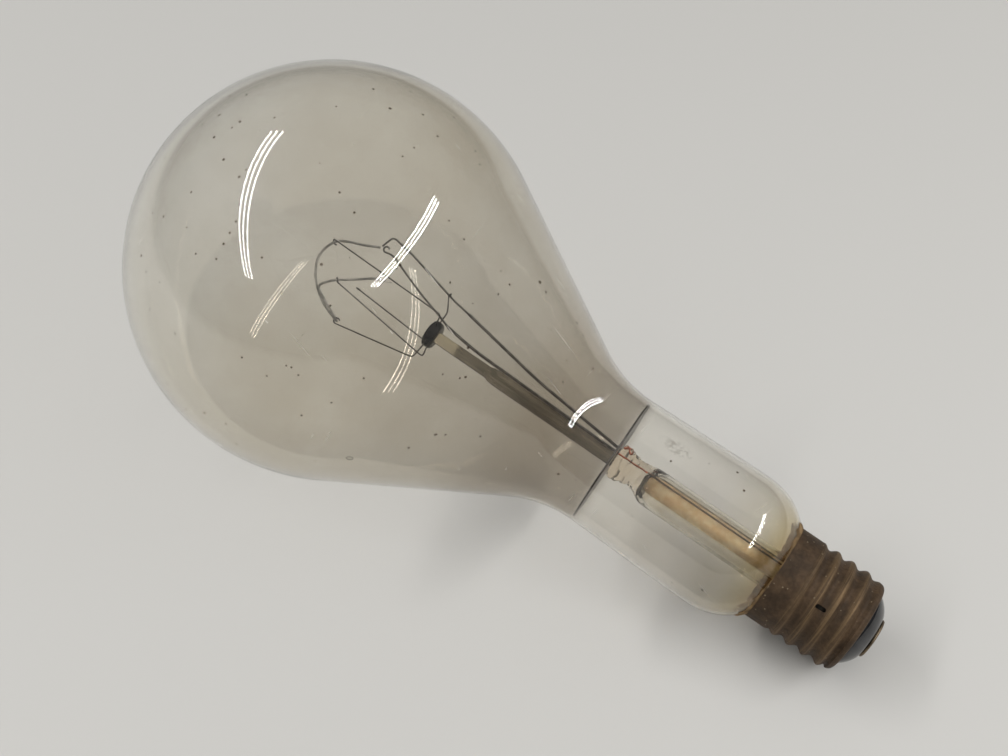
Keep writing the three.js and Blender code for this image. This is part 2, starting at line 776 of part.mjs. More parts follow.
// A point given on the lamp's axis, for a wire that is drawn from the mount's.
const onLamp = (height, distance, angle) => around(height, distance, angle).sub(mount.position);
const solderReach = threadRadius - threadDepth - shellSheet - 2 * fuseGap;
const solderThickness = 0.8;
const sideRoute = [
  around(pinchFoot, leadA.distance, leadA.angle),
  around(sealHeight + 2, leadA.distance, leadA.angle),
  onLamp(slotHeight + 0.5, 9, slotAngle + 12),
  onLamp(slotHeight, solderReach - solderThickness - fuseGap, slotAngle),
];
addTo(mount, "outer_lead_side", wire(bent(sideRoute, 5), sealWireRadius), copper);
const centreRoute = [
  around(pinchFoot, leadB.distance, leadB.angle),
  around(exhaustTipHeight + 4, leadB.distance, leadB.angle),
  onLamp(insulatorTop + 4.5, 0, 0),
  onLamp(contactThickness + 3 * fuseGap, 0, 0),
];
addTo(mount, "outer_lead_centre", wire(bent(centreRoute, 3), sealWireRadius), copper);

// Side solder: a flat bead on the shell's inside, over the punched slot.
const bead = new THREE.SphereGeometry(1, 10, 6);
bead.scale(solderThickness / 2, slotWidth, slotLength * 0.6);
bead.translate(solderReach - solderThickness / 2, 0, slotHeight);
addTo(lamp, "side_solder", bead.rotateZ(degToRad(slotAngle)), solder);

// The lamp lies on the globe and on the end of the screw shell: the tilt at which both touch the ground.
function lowest(geometry, tilt) {
  const place = geometry.attributes.position;
  let [best, height] = [0, Infinity];
  for (let i = 0; i < place.count; i++) {
    const here = place.getX(i) * Math.cos(tilt) + place.getZ(i) * Math.sin(tilt);
    if (here < height) [best, height] = [i, here];
  }
  return new THREE.Vector3().fromBufferAttribute(place, best);
}
let tilt = Math.asin(globeRadius / overallLength);
for (let i = 0; i < 12; i++) {
  const onGlobe = lowest(bulb.geometry, tilt);
  const onShell = lowest(shell.geometry, tilt);
  tilt = Math.atan2(onShell.x - onGlobe.x, onGlobe.z - onShell.z);
}
lamp.rotation.y = tilt - Math.PI / 2;

// Origin: on the ground, under the middle of the lamp.
const box = new THREE.Box3().setFromObject(lamp, true);
const middle = box.getCenter(new THREE.Vector3());
lamp.position.set(-middle.x, -middle.y, -box.min.z);

const part = new THREE.Group();
part.add(lamp);

export default part;
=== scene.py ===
import json
import math

import bmesh
import bpy
import numpy as np
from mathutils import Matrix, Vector


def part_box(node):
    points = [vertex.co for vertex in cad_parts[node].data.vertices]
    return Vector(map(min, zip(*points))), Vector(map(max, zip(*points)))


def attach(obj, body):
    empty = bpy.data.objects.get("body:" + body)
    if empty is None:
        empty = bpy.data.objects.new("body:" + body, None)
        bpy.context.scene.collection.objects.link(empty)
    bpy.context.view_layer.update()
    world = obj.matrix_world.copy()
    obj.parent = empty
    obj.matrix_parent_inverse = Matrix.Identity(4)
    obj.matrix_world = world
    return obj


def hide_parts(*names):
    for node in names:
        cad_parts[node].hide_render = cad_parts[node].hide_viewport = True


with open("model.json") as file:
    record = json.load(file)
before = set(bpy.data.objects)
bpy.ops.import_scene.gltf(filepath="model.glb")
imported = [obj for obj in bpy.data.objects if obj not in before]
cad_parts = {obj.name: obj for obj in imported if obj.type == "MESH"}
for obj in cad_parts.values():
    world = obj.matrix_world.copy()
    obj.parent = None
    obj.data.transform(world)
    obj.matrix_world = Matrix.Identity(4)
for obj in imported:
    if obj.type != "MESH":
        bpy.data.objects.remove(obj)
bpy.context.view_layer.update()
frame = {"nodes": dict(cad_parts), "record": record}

# Glass stem
# A clear glass tube, flared at its foot, where it is fused into the bulb's neck. Its top is pinched flat
# and solid round the wires while it is soft. Sizes are in millimetres, heights from the centre contact's
# face.
contact_thickness = 1.2
contact_mount = next(m for m in frame["record"]["mounts"] if m["name"] == "contact_face")
towards_base = np.array(contact_mount["axis"])
towards_crown = -towards_base
sideways = np.array([0.0, 1.0, 0.0])
upwards = np.cross(sideways, towards_crown)
lamp_foot = np.mean(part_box("centre_contact"), axis=0) + towards_base * contact_thickness / 2000


def lamp_place(height, distance, angle):
    """Places in metres of points on the lying lamp: up its axis by the height, then out from the axis by
    the distance, turned by the angle from the side that faces up."""
    height, distance, angle = np.broadcast_arrays(height, distance, angle)
    out = np.multiply.outer(distance * np.cos(angle), upwards)
    aside = np.multiply.outer(distance * np.sin(angle), sideways)
    return lamp_foot + (np.multiply.outer(height, towards_crown) + out + aside) / 1000


def skin(name, points, loop=False):
    """A smooth mesh over a grid of points: each row closes into a ring, neighbouring rows are joined by
    quads, and with loop the last row joins the first. Rows that meet in one point close as a pole."""
    rows, columns = points.shape[:2]
    corner = np.arange(rows * columns).reshape(rows, columns)
    lower = corner if loop else corner[:-1]
    upper = np.roll(corner, -1, 0) if loop else corner[1:]
    quads = np.stack([lower, np.roll(lower, -1, 1), np.roll(upper, -1, 1), upper], -1).reshape(-1, 4)
    mesh = bpy.data.meshes.new(name)
    mesh.from_pydata(points.reshape(-1, 3).tolist(), [], quads.tolist())
    work = bmesh.new()
    work.from_mesh(mesh)
    bmesh.ops.remove_doubles(work, verts=work.verts, dist=1e-6)
    work.to_mesh(mesh)
    work.free()
    mesh.shade_smooth()
    piece = bpy.data.objects.new(name, mesh)
    bpy.context.scene.collection.objects.link(piece)
    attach(piece, "root")
    return piece


def turned(name, profile, sides, loop=False):
    """A piece turned on the lamp's axis, every (radius, height) of its profile as a ring."""
    angle = np.linspace(0, 2 * np.pi, sides, endpoint=False)
    return skin(name, lamp_place(profile[:, 1:], profile[:, :1], angle), loop)


def stretch(*corners, steps=8):
    """A profile of straight lines through (radius, height) corners, each line cut into equal steps."""
    corners = np.array(corners, float)
    share = np.linspace(0, 1, steps, endpoint=False)[:, None]
    lines = [a + (b - a) * share for a, b in zip(corners[:-1], corners[1:])]
    return np.vstack(lines + [corners[-1:]])


def feed(tree, value, socket):
    """Links a socket's value, or sets a plain one."""
    if isinstance(value, bpy.types.NodeSocket):
        tree.links.new(value, socket)
    elif isinstance(value, tuple) and socket.type == "RGBA":
        socket.default_value = (*value, 1.0)
    else:
        socket.default_value = value


def add_node(tree, kind, inputs=None, **settings):
    """A new node with its settings, and its inputs by name or number."""
    node = tree.nodes.new(kind)
    for key, value in settings.items():
        setattr(node, key, value)
    for key, value in (inputs or {}).items():
        feed(tree, value, node.inputs[key])
    return node


def mixed(tree, share, first, second, way="MIX"):
    """The colour between two colours, by a share."""
    node = add_node(tree, "ShaderNodeMix", {0: share, 6: first, 7: second}, data_type="RGBA", blend_type=way)
    return node.outputs[2]


def ranged(tree, value, low, high, at_low=0.0, at_high=1.0):
    """A value that goes smoothly from one number to another while its input goes from low to high."""
    inputs = {"Value": value, "From Min": low, "From Max": high, "To Min": at_low, "To Max": at_high}
    return add_node(tree, "ShaderNodeMapRange", inputs, interpolation_type="SMOOTHSTEP").outputs[0]


def sums(tree, way, first, second=0.0, third=0.0):
    """One step of arithmetic on up to three values."""
    return add_node(tree, "ShaderNodeMath", {0: first, 1: second, 2: third}, operation=way).outputs[0]


def vectors(tree, way, first, second=(0.0, 0.0, 0.0), gives="Vector"):
    """One step of arithmetic on two vectors, which gives a Vector or a Value."""
    return add_node(tree, "ShaderNodeVectorMath", {0: first, 1: second}, operation=way).outputs[gives]


def new_group(name, inputs, outputs):
    """An empty node group with named sockets: its tree, its input node and its output node."""
    tree = bpy.data.node_groups.new(name, "ShaderNodeTree")
    for label, kind in inputs:
        tree.interface.new_socket(label, in_out="INPUT", socket_type=kind)
    for label, kind in outputs:
        tree.interface.new_socket(label, in_out="OUTPUT", socket_type=kind)
    return tree, tree.nodes.new("NodeGroupInput"), tree.nodes.new("NodeGroupOutput")


def new_finish(name):
    """A material with an empty node tree and its output node."""
    finish = bpy.data.materials.new(name)
    finish.use_nodes = True
    finish.node_tree.nodes.clear()
    return finish, finish.node_tree, finish.node_tree.nodes.new("ShaderNodeOutputMaterial")


# Height up the lamp in millimetres, for stains that follow its length.
height_group, _, height_out = new_group("height_on_lamp", [], [("Height", "NodeSocketFloat")])
height_place = add_node(height_group, "ShaderNodeTexCoord").outputs["Object"]
height_along = vectors(height_group, "DOT_PRODUCT", height_place, tuple(towards_crown), "Value")
height_start = -1000 * float(lamp_foot @ towards_crown)
height_mm = sums(height_group, "MULTIPLY_ADD", height_along, 1000.0, height_start)
feed(height_group, height_mm, height_out.inputs["Height"])

# Cloudy patches of two colours.
mottle_group, mottle_in, mottle_out = new_group(
    "mottle",
    [("First", "NodeSocketColor"), ("Second", "NodeSocketColor"), ("Scale", "NodeSocketFloat")],
    [("Colour", "NodeSocketColor"), ("Share", "NodeSocketFloat")],
)
mottle_place = add_node(mottle_group, "ShaderNodeTexCoord").outputs["Object"]
mottle_noise = add_node(
    mottle_group,
    "ShaderNodeTexNoise",
    {"Vector": mottle_place, "Scale": mottle_in.outputs["Scale"], "Detail": 6.0, "Roughness": 0.62},
)
mottle_share = ranged(mottle_group, mottle_noise.outputs[0], 0.34, 0.66)
mottle_colour = mixed(mottle_group, mottle_share, mottle_in.outputs["First"], mottle_in.outputs["Second"])
feed(mottle_group, mottle_colour, mottle_out.inputs["Colour"])
feed(mottle_group, mottle_share, mottle_out.inputs["Share"])

# Streaks along the lamp, or rings round it, by how fast the pattern changes along and across its axis.
streak_group, streak_in, streak_out = new_group(
    "streaks",
    [("Along", "NodeSocketFloat"), ("Across", "NodeSocketFloat")],
    [("Share", "NodeSocketFloat")],
)
streak_place = add_node(streak_group, "ShaderNodeTexCoord").outputs["Object"]
streak_along = vectors(streak_group, "PROJECT", streak_place, tuple(towards_crown))
streak_across = vectors(streak_group, "SUBTRACT", streak_place, streak_along)
streak_far = add_node(
    streak_group,
    "ShaderNodeVectorMath",
    {0: streak_along, "Scale": streak_in.outputs["Along"]},
    operation="SCALE",
).outputs["Vector"]
streak_wide = add_node(
    streak_group,
    "ShaderNodeVectorMath",
    {0: streak_across, "Scale": streak_in.outputs["Across"]},
    operation="SCALE",
).outputs["Vector"]
streak_grid = vectors(streak_group, "ADD", streak_far, streak_wide)
streak_noise = add_node(
    streak_group,
    "ShaderNodeTexNoise",
    {"Vector": streak_grid, "Scale": 1.0, "Detail": 5.0, "Roughness": 0.6},
)
streak_share = ranged(streak_group, streak_noise.outputs[0], 0.36, 0.64)
feed(streak_group, streak_share, streak_out.inputs["Share"])

# Scattered specks: small balls in some of the cells of a random grid, or hairlines where the grid is
# drawn out.
speck_group, speck_in, speck_out = new_group(
    "specks",
    [
        ("Place", "NodeSocketVector"),
        ("Scale", "NodeSocketFloat"),
        ("Size", "NodeSocketFloat"),
        ("Share", "NodeSocketFloat"),
    ],
    [("Mask", "NodeSocketFloat")],
)
speck_cells = add_node(
    speck_group,
    "ShaderNodeTexVoronoi",
    {"Vector": speck_in.outputs["Place"], "Scale": speck_in.outputs["Scale"]},
)
speck_ball = sums(speck_group, "LESS_THAN", speck_cells.outputs["Distance"], speck_in.outputs["Size"])
speck_pick = add_node(speck_group, "ShaderNodeSeparateColor", {0: speck_cells.outputs["Color"]}).outputs[0]
speck_kept = sums(speck_group, "LESS_THAN", speck_pick, speck_in.outputs["Share"])
speck_mask = sums(speck_group, "MULTIPLY", speck_ball, speck_kept)
feed(speck_group, speck_mask, speck_out.inputs["Mask"])


def use_group(tree, group, **inputs):
    """A group placed in a material, with its inputs by name."""
    node = add_node(tree, "ShaderNodeGroup", node_tree=group)
    for label, value in inputs.items():
        feed(tree, value, node.inputs[label])
    return node


edge_full = 0.98
edge_strength = 0.95


def glass_finish(name, paint, edge_tint, edge_start):
    """Clear glass that bends light, but lets light on its way to a dull surface straight through. paint
    gives its Base Color, Roughness, Metallic, Normal and the colour of its shadow from the tree. Seen
    edge on, where light goes a long way through the wall and its film, it takes on the edge tint, from
    the edge start of Facing up."""
    finish, tree, output = new_finish(name)
    colour, roughness, metal, normal, shadow = paint(tree)
    facing = add_node(tree, "ShaderNodeLayerWeight", {"Blend": 0.5}).outputs["Facing"]
    edge = ranged(tree, facing, edge_start, edge_full, 0.0, edge_strength)
    colour = mixed(tree, edge, colour, edge_tint, "MULTIPLY")
    glass = add_node(
        tree,
        "ShaderNodeBsdfPrincipled",
        {
            "Base Color": colour,
            "Roughness": roughness,
            "Metallic": metal,
            "IOR": 1.5,
            "Transmission Weight": 1.0,
        },
    )
    if normal is not None:
        feed(tree, normal, glass.inputs["Normal"])
    let_through = add_node(tree, "ShaderNodeBsdfTransparent", {"Color": shadow})
    path = add_node(tree, "ShaderNodeLightPath")
    straight = sums(tree, "MAXIMUM", path.outputs["Is Shadow Ray"], path.outputs["Is Diffuse Ray"])
    either = add_node(
        tree,
        "ShaderNodeMixShader",
        {0: straight, 1: glass.outputs[0], 2: let_through.outputs[0]},
    )
    feed(tree, either.outputs[0], output.inputs["Surface"])
    return finish


stem_sides = 72
stem_radius = 7.7
stem_bore = 6.5
flare_radius = 14.5
flare_foot = 29.6
flare_length = 16.5
stem_wall = 1.2
pinch_foot = 102.0
pinch_top = 115.5
pinch_draw_in = 4.0
pinch_width = 13.7
pinch_neck_width = 11.2
pinch_thickness = 10.3
pinch_angle = math.radians(54)
pinch_lump = 0.07
pinch_ripple = 0.045
mount_offset = 1.0
mount_shift = mount_offset * np.array([math.cos(pinch_angle), math.sin(pinch_angle)])


def flare_side(foot, tube):
    """A quarter of an ellipse from the flare's foot up to the plain tube."""
    turn = np.linspace(0, np.pi / 2, 16)
    radius = tube + (foot - tube) * (1 - np.sin(turn))
    return np.column_stack([radius, flare_foot + flare_length * (1 - np.cos(turn))])


def smooth_step(value, low, high):
    """0 below low, 1 above high, and an S-curve between."""
    share = np.clip((value - low) / (high - low), 0, 1)
    return share * share * (3 - 2 * share)


def pinched_stem():
    """A flared tube whose rings turn from circles into rounded rectangles on the mount's axis, with a
    lumpy surface where the soft glass was squeezed. Its bore ends in a dome under the pinch."""
    bore_dome = np.array([(0, 0), (2.4, -0.3), (4.4, -1.3), (5.8, -3.3)]) + (0, pinch_foot)
    bore = np.vstack([
        stretch(*bore_dome, steps=4),
        stretch((stem_bore, pinch_foot - 6.5), (stem_bore, flare_foot + flare_length)),
        flare_side(flare_radius - stem_wall, stem_bore)[::-1],
    ])
    outside = np.vstack([
        flare_side(flare_radius, stem_radius),
        stretch((stem_radius, flare_foot + flare_length + 3), (stem_radius, pinch_foot - pinch_draw_in)),
        stretch((stem_radius, pinch_foot - pinch_draw_in + 0.5), (stem_radius, pinch_top - 1.8), steps=24),
        stretch((stem_radius * 0.97, pinch_top - 1), (stem_radius * 0.9, pinch_top - 0.35), steps=3),
        stretch((stem_radius * 0.75, pinch_top), (0, pinch_top), steps=4),
    ])
    angle = np.linspace(0, 2 * np.pi, stem_sides, endpoint=False)
    profile = np.vstack([bore, outside])
    squeezed = np.arange(len(profile)) >= len(bore)
    radius, height = profile[:, :1], profile[:, 1:]
    share = smooth_step(height, pinch_foot - pinch_draw_in, pinch_foot + pinch_draw_in) * squeezed[:, None]
    shoulder = smooth_step(height, pinch_foot + pinch_draw_in, pinch_top - 2)
    half_width = (pinch_neck_width + (pinch_width - pinch_neck_width) * shoulder) / 2
    across, along = np.cos(angle - pinch_angle), np.sin(angle - pinch_angle)
    square = (np.abs(across) ** 3 + np.abs(along) ** 3) ** (-1 / 3)
    lumps = pinch_lump * np.sin(3 * angle + height * 0.9) * np.sin(height * 1.3 + angle)
    ripples = pinch_ripple * np.sin(7 * angle - height * 1.7) * np.sin(height * 0.8)
    reach = (1 + share * (lumps + ripples)) * radius / stem_radius
    wide = (1 - share) * radius * across + share * reach * square * across * half_width
    thick = (1 - share) * radius * along + share * reach * square * along * pinch_thickness / 2
    x = wide * math.cos(pinch_angle) - thick * math.sin(pinch_angle) + share * mount_shift[0]
    y = wide * math.sin(pinch_angle) + thick * math.cos(pinch_angle) + share * mount_shift[1]
    return lamp_place(height, np.hypot(x, y), np.arctan2(y, x))


def stem_paint(tree):
    """Nearly clear, cloudy glass that goes over to brown up the pinch."""
    height = use_group(tree, height_group).outputs["Height"]
    cloud = use_group(tree, mottle_group, First=(0.95, 0.94, 0.90), Second=(0.88, 0.85, 0.78), Scale=120.0)
    browned = ranged(tree, height, pinch_foot - 10, pinch_foot + 10)
    colour = mixed(tree, browned, cloud.outputs["Colour"], (0.84, 0.74, 0.61))
    return colour, 0.0, 0.0, None, (0.96, 0.95, 0.93)


stem_glass = glass_finish("stem_glass", stem_paint, (0.46, 0.38, 0.29), 0.7)
stem = skin("stem", pinched_stem())
stem.data.materials.append(stem_glass)
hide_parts("stem_flare")

# Exhaust tube
# The thin glass tube that the air was pumped out by, fused to the pinch inside the stem and melted shut
# at its foot. Heat and vapour have stained it tan.
exhaust_sides = 48
exhaust_radius = 3.8
exhaust_bore = 2.5
exhaust_tip = 20.0
exhaust_top = pinch_foot - 1.6
exhaust_profile = np.vstack([
    np.array([(0, 0), (0.9, 0.3), (1.9, 1.6), (2.8, 3.8), (3.4, 6)]) + (0, exhaust_tip),
    stretch((exhaust_radius, exhaust_tip + 9), (exhaust_radius, exhaust_top), steps=12),
    stretch((exhaust_bore, exhaust_top), (exhaust_bore, exhaust_tip + 9), steps=12),
    np.array([(1.3, 5), (0, 3.5)]) + (0, exhaust_tip),
])


def about_mount(height, distance, angle):
    """Places on the lamp of points given about the mount's own axis, a little beside the lamp's."""
    height, distance, angle = np.broadcast_arrays(height, distance, angle)
    x = distance * np.cos(angle) + mount_shift[0]
    y = distance * np.sin(angle) + mount_shift[1]
    return lamp_place(height, np.hypot(x, y), np.arctan2(y, x))


def turned_on_mount(name, profile, sides, loop=False):
    """A piece turned on the mount's axis, every (radius, height) of its profile as a ring."""
    angle = np.linspace(0, 2 * np.pi, sides, endpoint=False)
    return skin(name, about_mount(profile[:, 1:], profile[:, :1], angle), loop)


exhaust = turned_on_mount("exhaust_tubing", exhaust_profile, exhaust_sides)


def stained_glass_finish():
    """Rough glass that lets most light through, in slow patches of two tans times a fine grain."""
    finish, tree, output = new_finish("stained_glass")
    stain = use_group(tree, mottle_group, First=(1.0, 0.94, 0.79), Second=(0.88, 0.73, 0.50), Scale=130.0)
    fine = use_group(tree, mottle_group, First=(1.0, 1.0, 1.0), Second=(0.83, 0.77, 0.65), Scale=520.0)
    colour = mixed(tree, 1.0, stain.outputs["Colour"], fine.outputs["Colour"], "MULTIPLY")
    shader = add_node(
        tree,
        "ShaderNodeBsdfPrincipled",
        {"Base Color": colour, "Roughness": 0.6, "IOR": 1.5, "Transmission Weight": 0.8},
    )
    feed(tree, shader.outputs[0], output.inputs["Surface"])
    return finish


exhaust.data.materials.append(stained_glass_finish())
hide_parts("exhaust_tube")

# Glass rod
# A solid rod of glass fused on top of the pinch, drawn thinner above a step near its end. Metal vapour
# from the filament has blackened it, except for the last stretch under the button.
rod_sides = 40
rod_radius = 3.25
rod_tip_radius = 2.4
button_height = 199.25
rod_foot = pinch_top + 0.05
rod_top = button_height + 1.2
rod_step = button_height - 24.2
rod_soot_top = 189.5
rod_profile = np.vstack([
    stretch((0, rod_foot), (rod_radius - 0.3, rod_foot), steps=3),
    stretch((rod_radius, pinch_top + 0.4), (rod_radius, rod_step - 4), steps=12),
    stretch((2.98, rod_step - 1.4), (rod_tip_radius, rod_step), steps=5),
    stretch((rod_tip_radius, rod_step + 1), (rod_tip_radius, rod_top), steps=10),
    stretch((rod_tip_radius - 0.2, rod_top), (0, rod_top), steps=3),
])


def rod_paint(tree):
    """Soot in streaks along the rod up to the clear stretch, where it goes over to clear tan glass."""
    height = use_group(tree, height_group).outputs["Height"]
    streak = use_group(tree, streak_group, Along=25.0, Across=900.0).outputs["Share"]
    soot = mixed(tree, streak, (0.16, 0.145, 0.125), (0.50, 0.46, 0.39))
    smoked = ranged(tree, height, rod_soot_top, rod_soot_top + 1.5, 1.0, 0.0)
    colour = mixed(tree, smoked, (0.74, 0.68, 0.56), soot)
    return colour, 0.0, 0.0, None, (0.55, 0.52, 0.48)


rod = turned_on_mount("rod", rod_profile, rod_sides)
rod.data.materials.append(glass_finish("smoked_glass", rod_paint, (0.30, 0.26, 0.21), 0.4))
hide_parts("arbor_rod")

# Button
# A bead of dark glass melted on the rod's end. The support wires are pushed into its edge while it is
# soft, so its faces are uneven.
button_sides = 48
button_radius = 5.65
button_thickness = 4.6
button_round = 1.5
button_dent = 0.035


def button_bead():
    """A flat bead: an upright rounded edge between two faces, with slow dents round it."""
    turn = np.linspace(-np.pi / 2, np.pi / 2, 15)[:, None]
    middle = button_height + button_thickness / 2
    straight = button_thickness / 2 - button_round
    edge = button_radius - button_round + button_round * np.cos(turn)
    level = middle + button_round * np.sin(turn) + straight * np.sign(turn)
    fill = np.linspace(0, 1, 6, endpoint=False)[:, None]
    radius = np.vstack([edge[0] * fill, edge, edge[-1] * fill[::-1]])
    height = np.vstack([level[0] + 0 * fill, level, level[-1] + 0 * fill])
    angle = np.linspace(0, 2 * np.pi, button_sides, endpoint=False)
    dents = 1 - button_dent * (1 + np.sin(5 * angle + 0.7) * np.cos(2 * angle + height * 0.8)) / 2
    return about_mount(height, radius * dents, angle)


def black_glass_finish():
    """Black glass with a little dust, its roughness in patches where the shine has gone."""
    finish, tree, output = new_finish("black_glass")
    black, dusty = (0.006, 0.006, 0.007), (0.022, 0.022, 0.024)
    tone = use_group(tree, mottle_group, First=black, Second=dusty, Scale=260.0).outputs["Colour"]
    shiny, dull = (0.05, 0.05, 0.05), (0.17, 0.17, 0.17)
    wear_and_sheen = use_group(tree, mottle_group, First=shiny, Second=dull, Scale=140.0).outputs["Colour"]
    shader = add_node(
        tree,
        "ShaderNodeBsdfPrincipled",
        {"Base Color": tone, "Roughness": wear_and_sheen, "Specular IOR Level": 0.6},
    )
    feed(tree, shader.outputs[0], output.inputs["Surface"])
    return finish


black_glass = black_glass_finish()
button = skin("button", button_bead())
button.data.materials.append(black_glass)
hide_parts("support_button")

# Wires
# Nickel leads with thinner welded tips, molybdenum supports set in the button, and copper-clad wires
# through the pinch and down to the base. All have darkened in use.


def wire_finish(name, first, second, roughness):
    """Bare metal in small patches of two colours."""
    finish, tree, output = new_finish(name)
    tone = use_group(tree, mottle_group, First=first, Second=second, Scale=300.0)
    shader = add_node(
        tree,
        "ShaderNodeBsdfPrincipled",
        {"Base Color": tone.outputs["Colour"], "Roughness": roughness, "Metallic": 1.0},
    )
    feed(tree, shader.outputs[0], output.inputs["Surface"])
    return finish


wire_kinds = [
    (
        wire_finish("nickel", (0.10, 0.095, 0.09), (0.20, 0.19, 0.18), 0.36),
        ["inner_lead_a", "inner_lead_b", "lead_tip_a", "lead_tip_b"],
    ),
    (
        wire_finish("molybdenum", (0.085, 0.08, 0.075), (0.16, 0.15, 0.145), 0.4),
        ["lead_brace", "support_wire_1", "support_wire_2", "support_wire_3", "support_wire_4"],
    ),
    (
        wire_finish("copper", (0.42, 0.13, 0.07), (0.25, 0.08, 0.045), 0.42),
        ["seal_wire_a", "seal_wire_b"],
    ),
    (
        wire_finish("dark_copper", (0.13, 0.085, 0.06), (0.07, 0.05, 0.04), 0.5),
        ["outer_lead_side", "outer_lead_centre"],
    ),
]
for wire_metal, wire_names in wire_kinds:
    for wire_name in wire_names:
        wire_mesh = frame["nodes"][wire_name].data
        wire_mesh.materials.clear()
        wire_mesh.materials.append(wire_metal)

# Filament
# Fine tungsten wire wound into a close coil and hung from lead tip B over the supports. It has burnt
# through: the last turns are pulled open and end in a melted bead.
light_centre = 247.45
coil_radius = 0.46
coil_wire = 0.085
coil_pitch = 0.26
coil_sides = 6
coil_turn_steps = 12
coil_open_from = 0.955
coil_narrow_from = 0.985
bead_from = 0.9985
coil_route = np.array([
    (-8.8, 16.7, 54), (-4.2, 14.5, 36), (0.4, 15, 12.5), (3.2, 16.7, -6), (4.6, 17.3, -31), (2.6, 17.7, -52),
    (-1.4, 17.7, -71), (-5.8, 17.4, -89), (-12, 17.2, -112), (-2, 14, -142), (6, 14, -172), (5.6, 15.2, 171),
    (3, 16.9, 156.5), (-3, 17.5, 141.5), (-9.2, 17.6, 127), (-16.5, 17.4, 117.5),
])


def unit(arrows):
    """Vectors divided by their lengths."""
    return arrows / np.linalg.norm(arrows, axis=-1, keepdims=True)


def smooth_route(points, steps):
    """A centripetal Catmull-Rom curve through the points, its knots apart by the root of each chord,
    resampled at equal lengths."""
    ends = np.vstack([2 * points[0] - points[1], points, 2 * points[-1] - points[-2]])
    knots = np.concatenate([[0], np.cumsum(np.sqrt(np.linalg.norm(np.diff(ends, axis=0), axis=1)))])
    at = np.linspace(knots[1], knots[-2], 40 * len(points))
    i = np.clip(np.searchsorted(knots, at, "right") - 1, 1, len(points) - 1)
    t0, t1, t2, t3 = (knots[i + k][:, None] for k in (-1, 0, 1, 2))
    p0, p1, p2, p3 = (ends[i + k] for k in (-1, 0, 1, 2))
    t = at[:, None]
    a1 = p0 * (t1 - t) / (t1 - t0) + p1 * (t - t0) / (t1 - t0)
    a2 = p1 * (t2 - t) / (t2 - t1) + p2 * (t - t1) / (t2 - t1)
    a3 = p2 * (t3 - t) / (t3 - t2) + p3 * (t - t2) / (t3 - t2)
    b1 = a1 * (t2 - t) / (t2 - t0) + a2 * (t - t0) / (t2 - t0)
    b2 = a2 * (t3 - t) / (t3 - t1) + a3 * (t - t1) / (t3 - t1)
    fine = b1 * (t2 - t) / (t2 - t1) + b2 * (t - t1) / (t2 - t1)
    length = np.concatenate([[0], np.cumsum(np.linalg.norm(np.diff(fine, axis=0), axis=1))])
    even = np.linspace(0, length[-1], steps)
    return np.column_stack([np.interp(even, length, fine[:, k]) for k in range(3)]), length[-1]


def tube(path, side_hint, radius, sides):
    """Rings round a path in metres: each stands across the path, starts towards its side hint and has its
    own radius; the first and last shrink to points that close the ends."""
    along = unit(np.gradient(path, axis=0))
    out = unit(side_hint - np.sum(side_hint * along, axis=1, keepdims=True) * along)
    across = np.cross(along, out)
    turn = np.linspace(0, 2 * np.pi, sides, endpoint=False)
    ring = np.cos(turn)[None, :, None] * out[:, None] + np.sin(turn)[None, :, None] * across[:, None]
    rings = path[:, None] + np.reshape(radius, (-1, 1, 1)) * ring
    return np.concatenate([np.repeat(path[:1, None], sides, 1), rings, np.repeat(path[-1:, None], sides, 1)])


def filament_coil():
    """A helix of fine wire about the coil's route. Over the last turns its pitch opens and it narrows, and
    the wire swells into a bead at the burnt end."""
    centre = about_mount(light_centre + coil_route[:, 0], coil_route[:, 1], np.radians(coil_route[:, 2]))
    _, length = smooth_route(centre, 400)
    turns = int(1000 * length / coil_pitch)
    steps = turns * coil_turn_steps
    route, _ = smooth_route(centre, steps)
    along = unit(np.gradient(route, axis=0))
    out = unit(towards_crown - np.sum(towards_crown * along, axis=1, keepdims=True) * along)
    across = np.cross(along, out)
    share = np.linspace(0, 1, steps)
    opened = smooth_step(share, coil_open_from, 1.0)
    turn = 2 * np.pi * turns * (share - 0.02 * opened * opened)
    side = np.cos(turn)[:, None] * out + np.sin(turn)[:, None] * across
    radius = coil_radius * (1 - 0.55 * smooth_step(share, coil_narrow_from, 1.0))
    path = route + side * radius[:, None] / 1000
    bead = 1 + 1.6 * smooth_step(share, bead_from, bead_from + 0.001)
    return tube(path, side, coil_wire * bead / 1000, coil_sides)


filament = skin("filament_coil", filament_coil())
filament.data.materials.append(wire_finish("tungsten", (0.24, 0.235, 0.225), (0.40, 0.39, 0.375), 0.38))
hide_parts("filament")

# Mica disc
# A thin sheet of mica across the neck, threaded on the rod and the leads. It keeps hot gas off the base,
# and its face towards the filament has gone dark.
disc_sides = 120
disc_height = pinch_top + 0.6
disc_thickness = 0.7
disc_radius = 25.7
disc_hole = rod_radius + 0.35
disc_lean = 0.042
disc_lean_angle = math.radians(-36)


def mica_sheet():
    """A flat ring from the rod's hole to the neck, which leans a little and is wavy towards its edge."""
    fill = np.linspace(0, 1, 24)[:, None]
    radius = disc_hole + (disc_radius - disc_hole) * fill
    angle = np.linspace(0, 2 * np.pi, disc_sides, endpoint=False)
    wave = 0.12 * fill * np.sin(2 * angle + 0.6) + 0.06 * fill * np.sin(5 * angle)
    wave = wave - disc_lean * radius * np.cos(angle - disc_lean_angle)
    under = disc_height + wave
    over = under[::-1] + disc_thickness
    radii = np.vstack([radius, radius[::-1]]) + 0 * angle
    heights = np.vstack([under, over])
    x = radii * np.cos(angle) + mount_shift[0] * (1 - np.vstack([fill, fill[::-1]]))
    y = radii * np.sin(angle) + mount_shift[1] * (1 - np.vstack([fill, fill[::-1]]))
    return lamp_place(heights, np.hypot(x, y), np.arctan2(y, x))


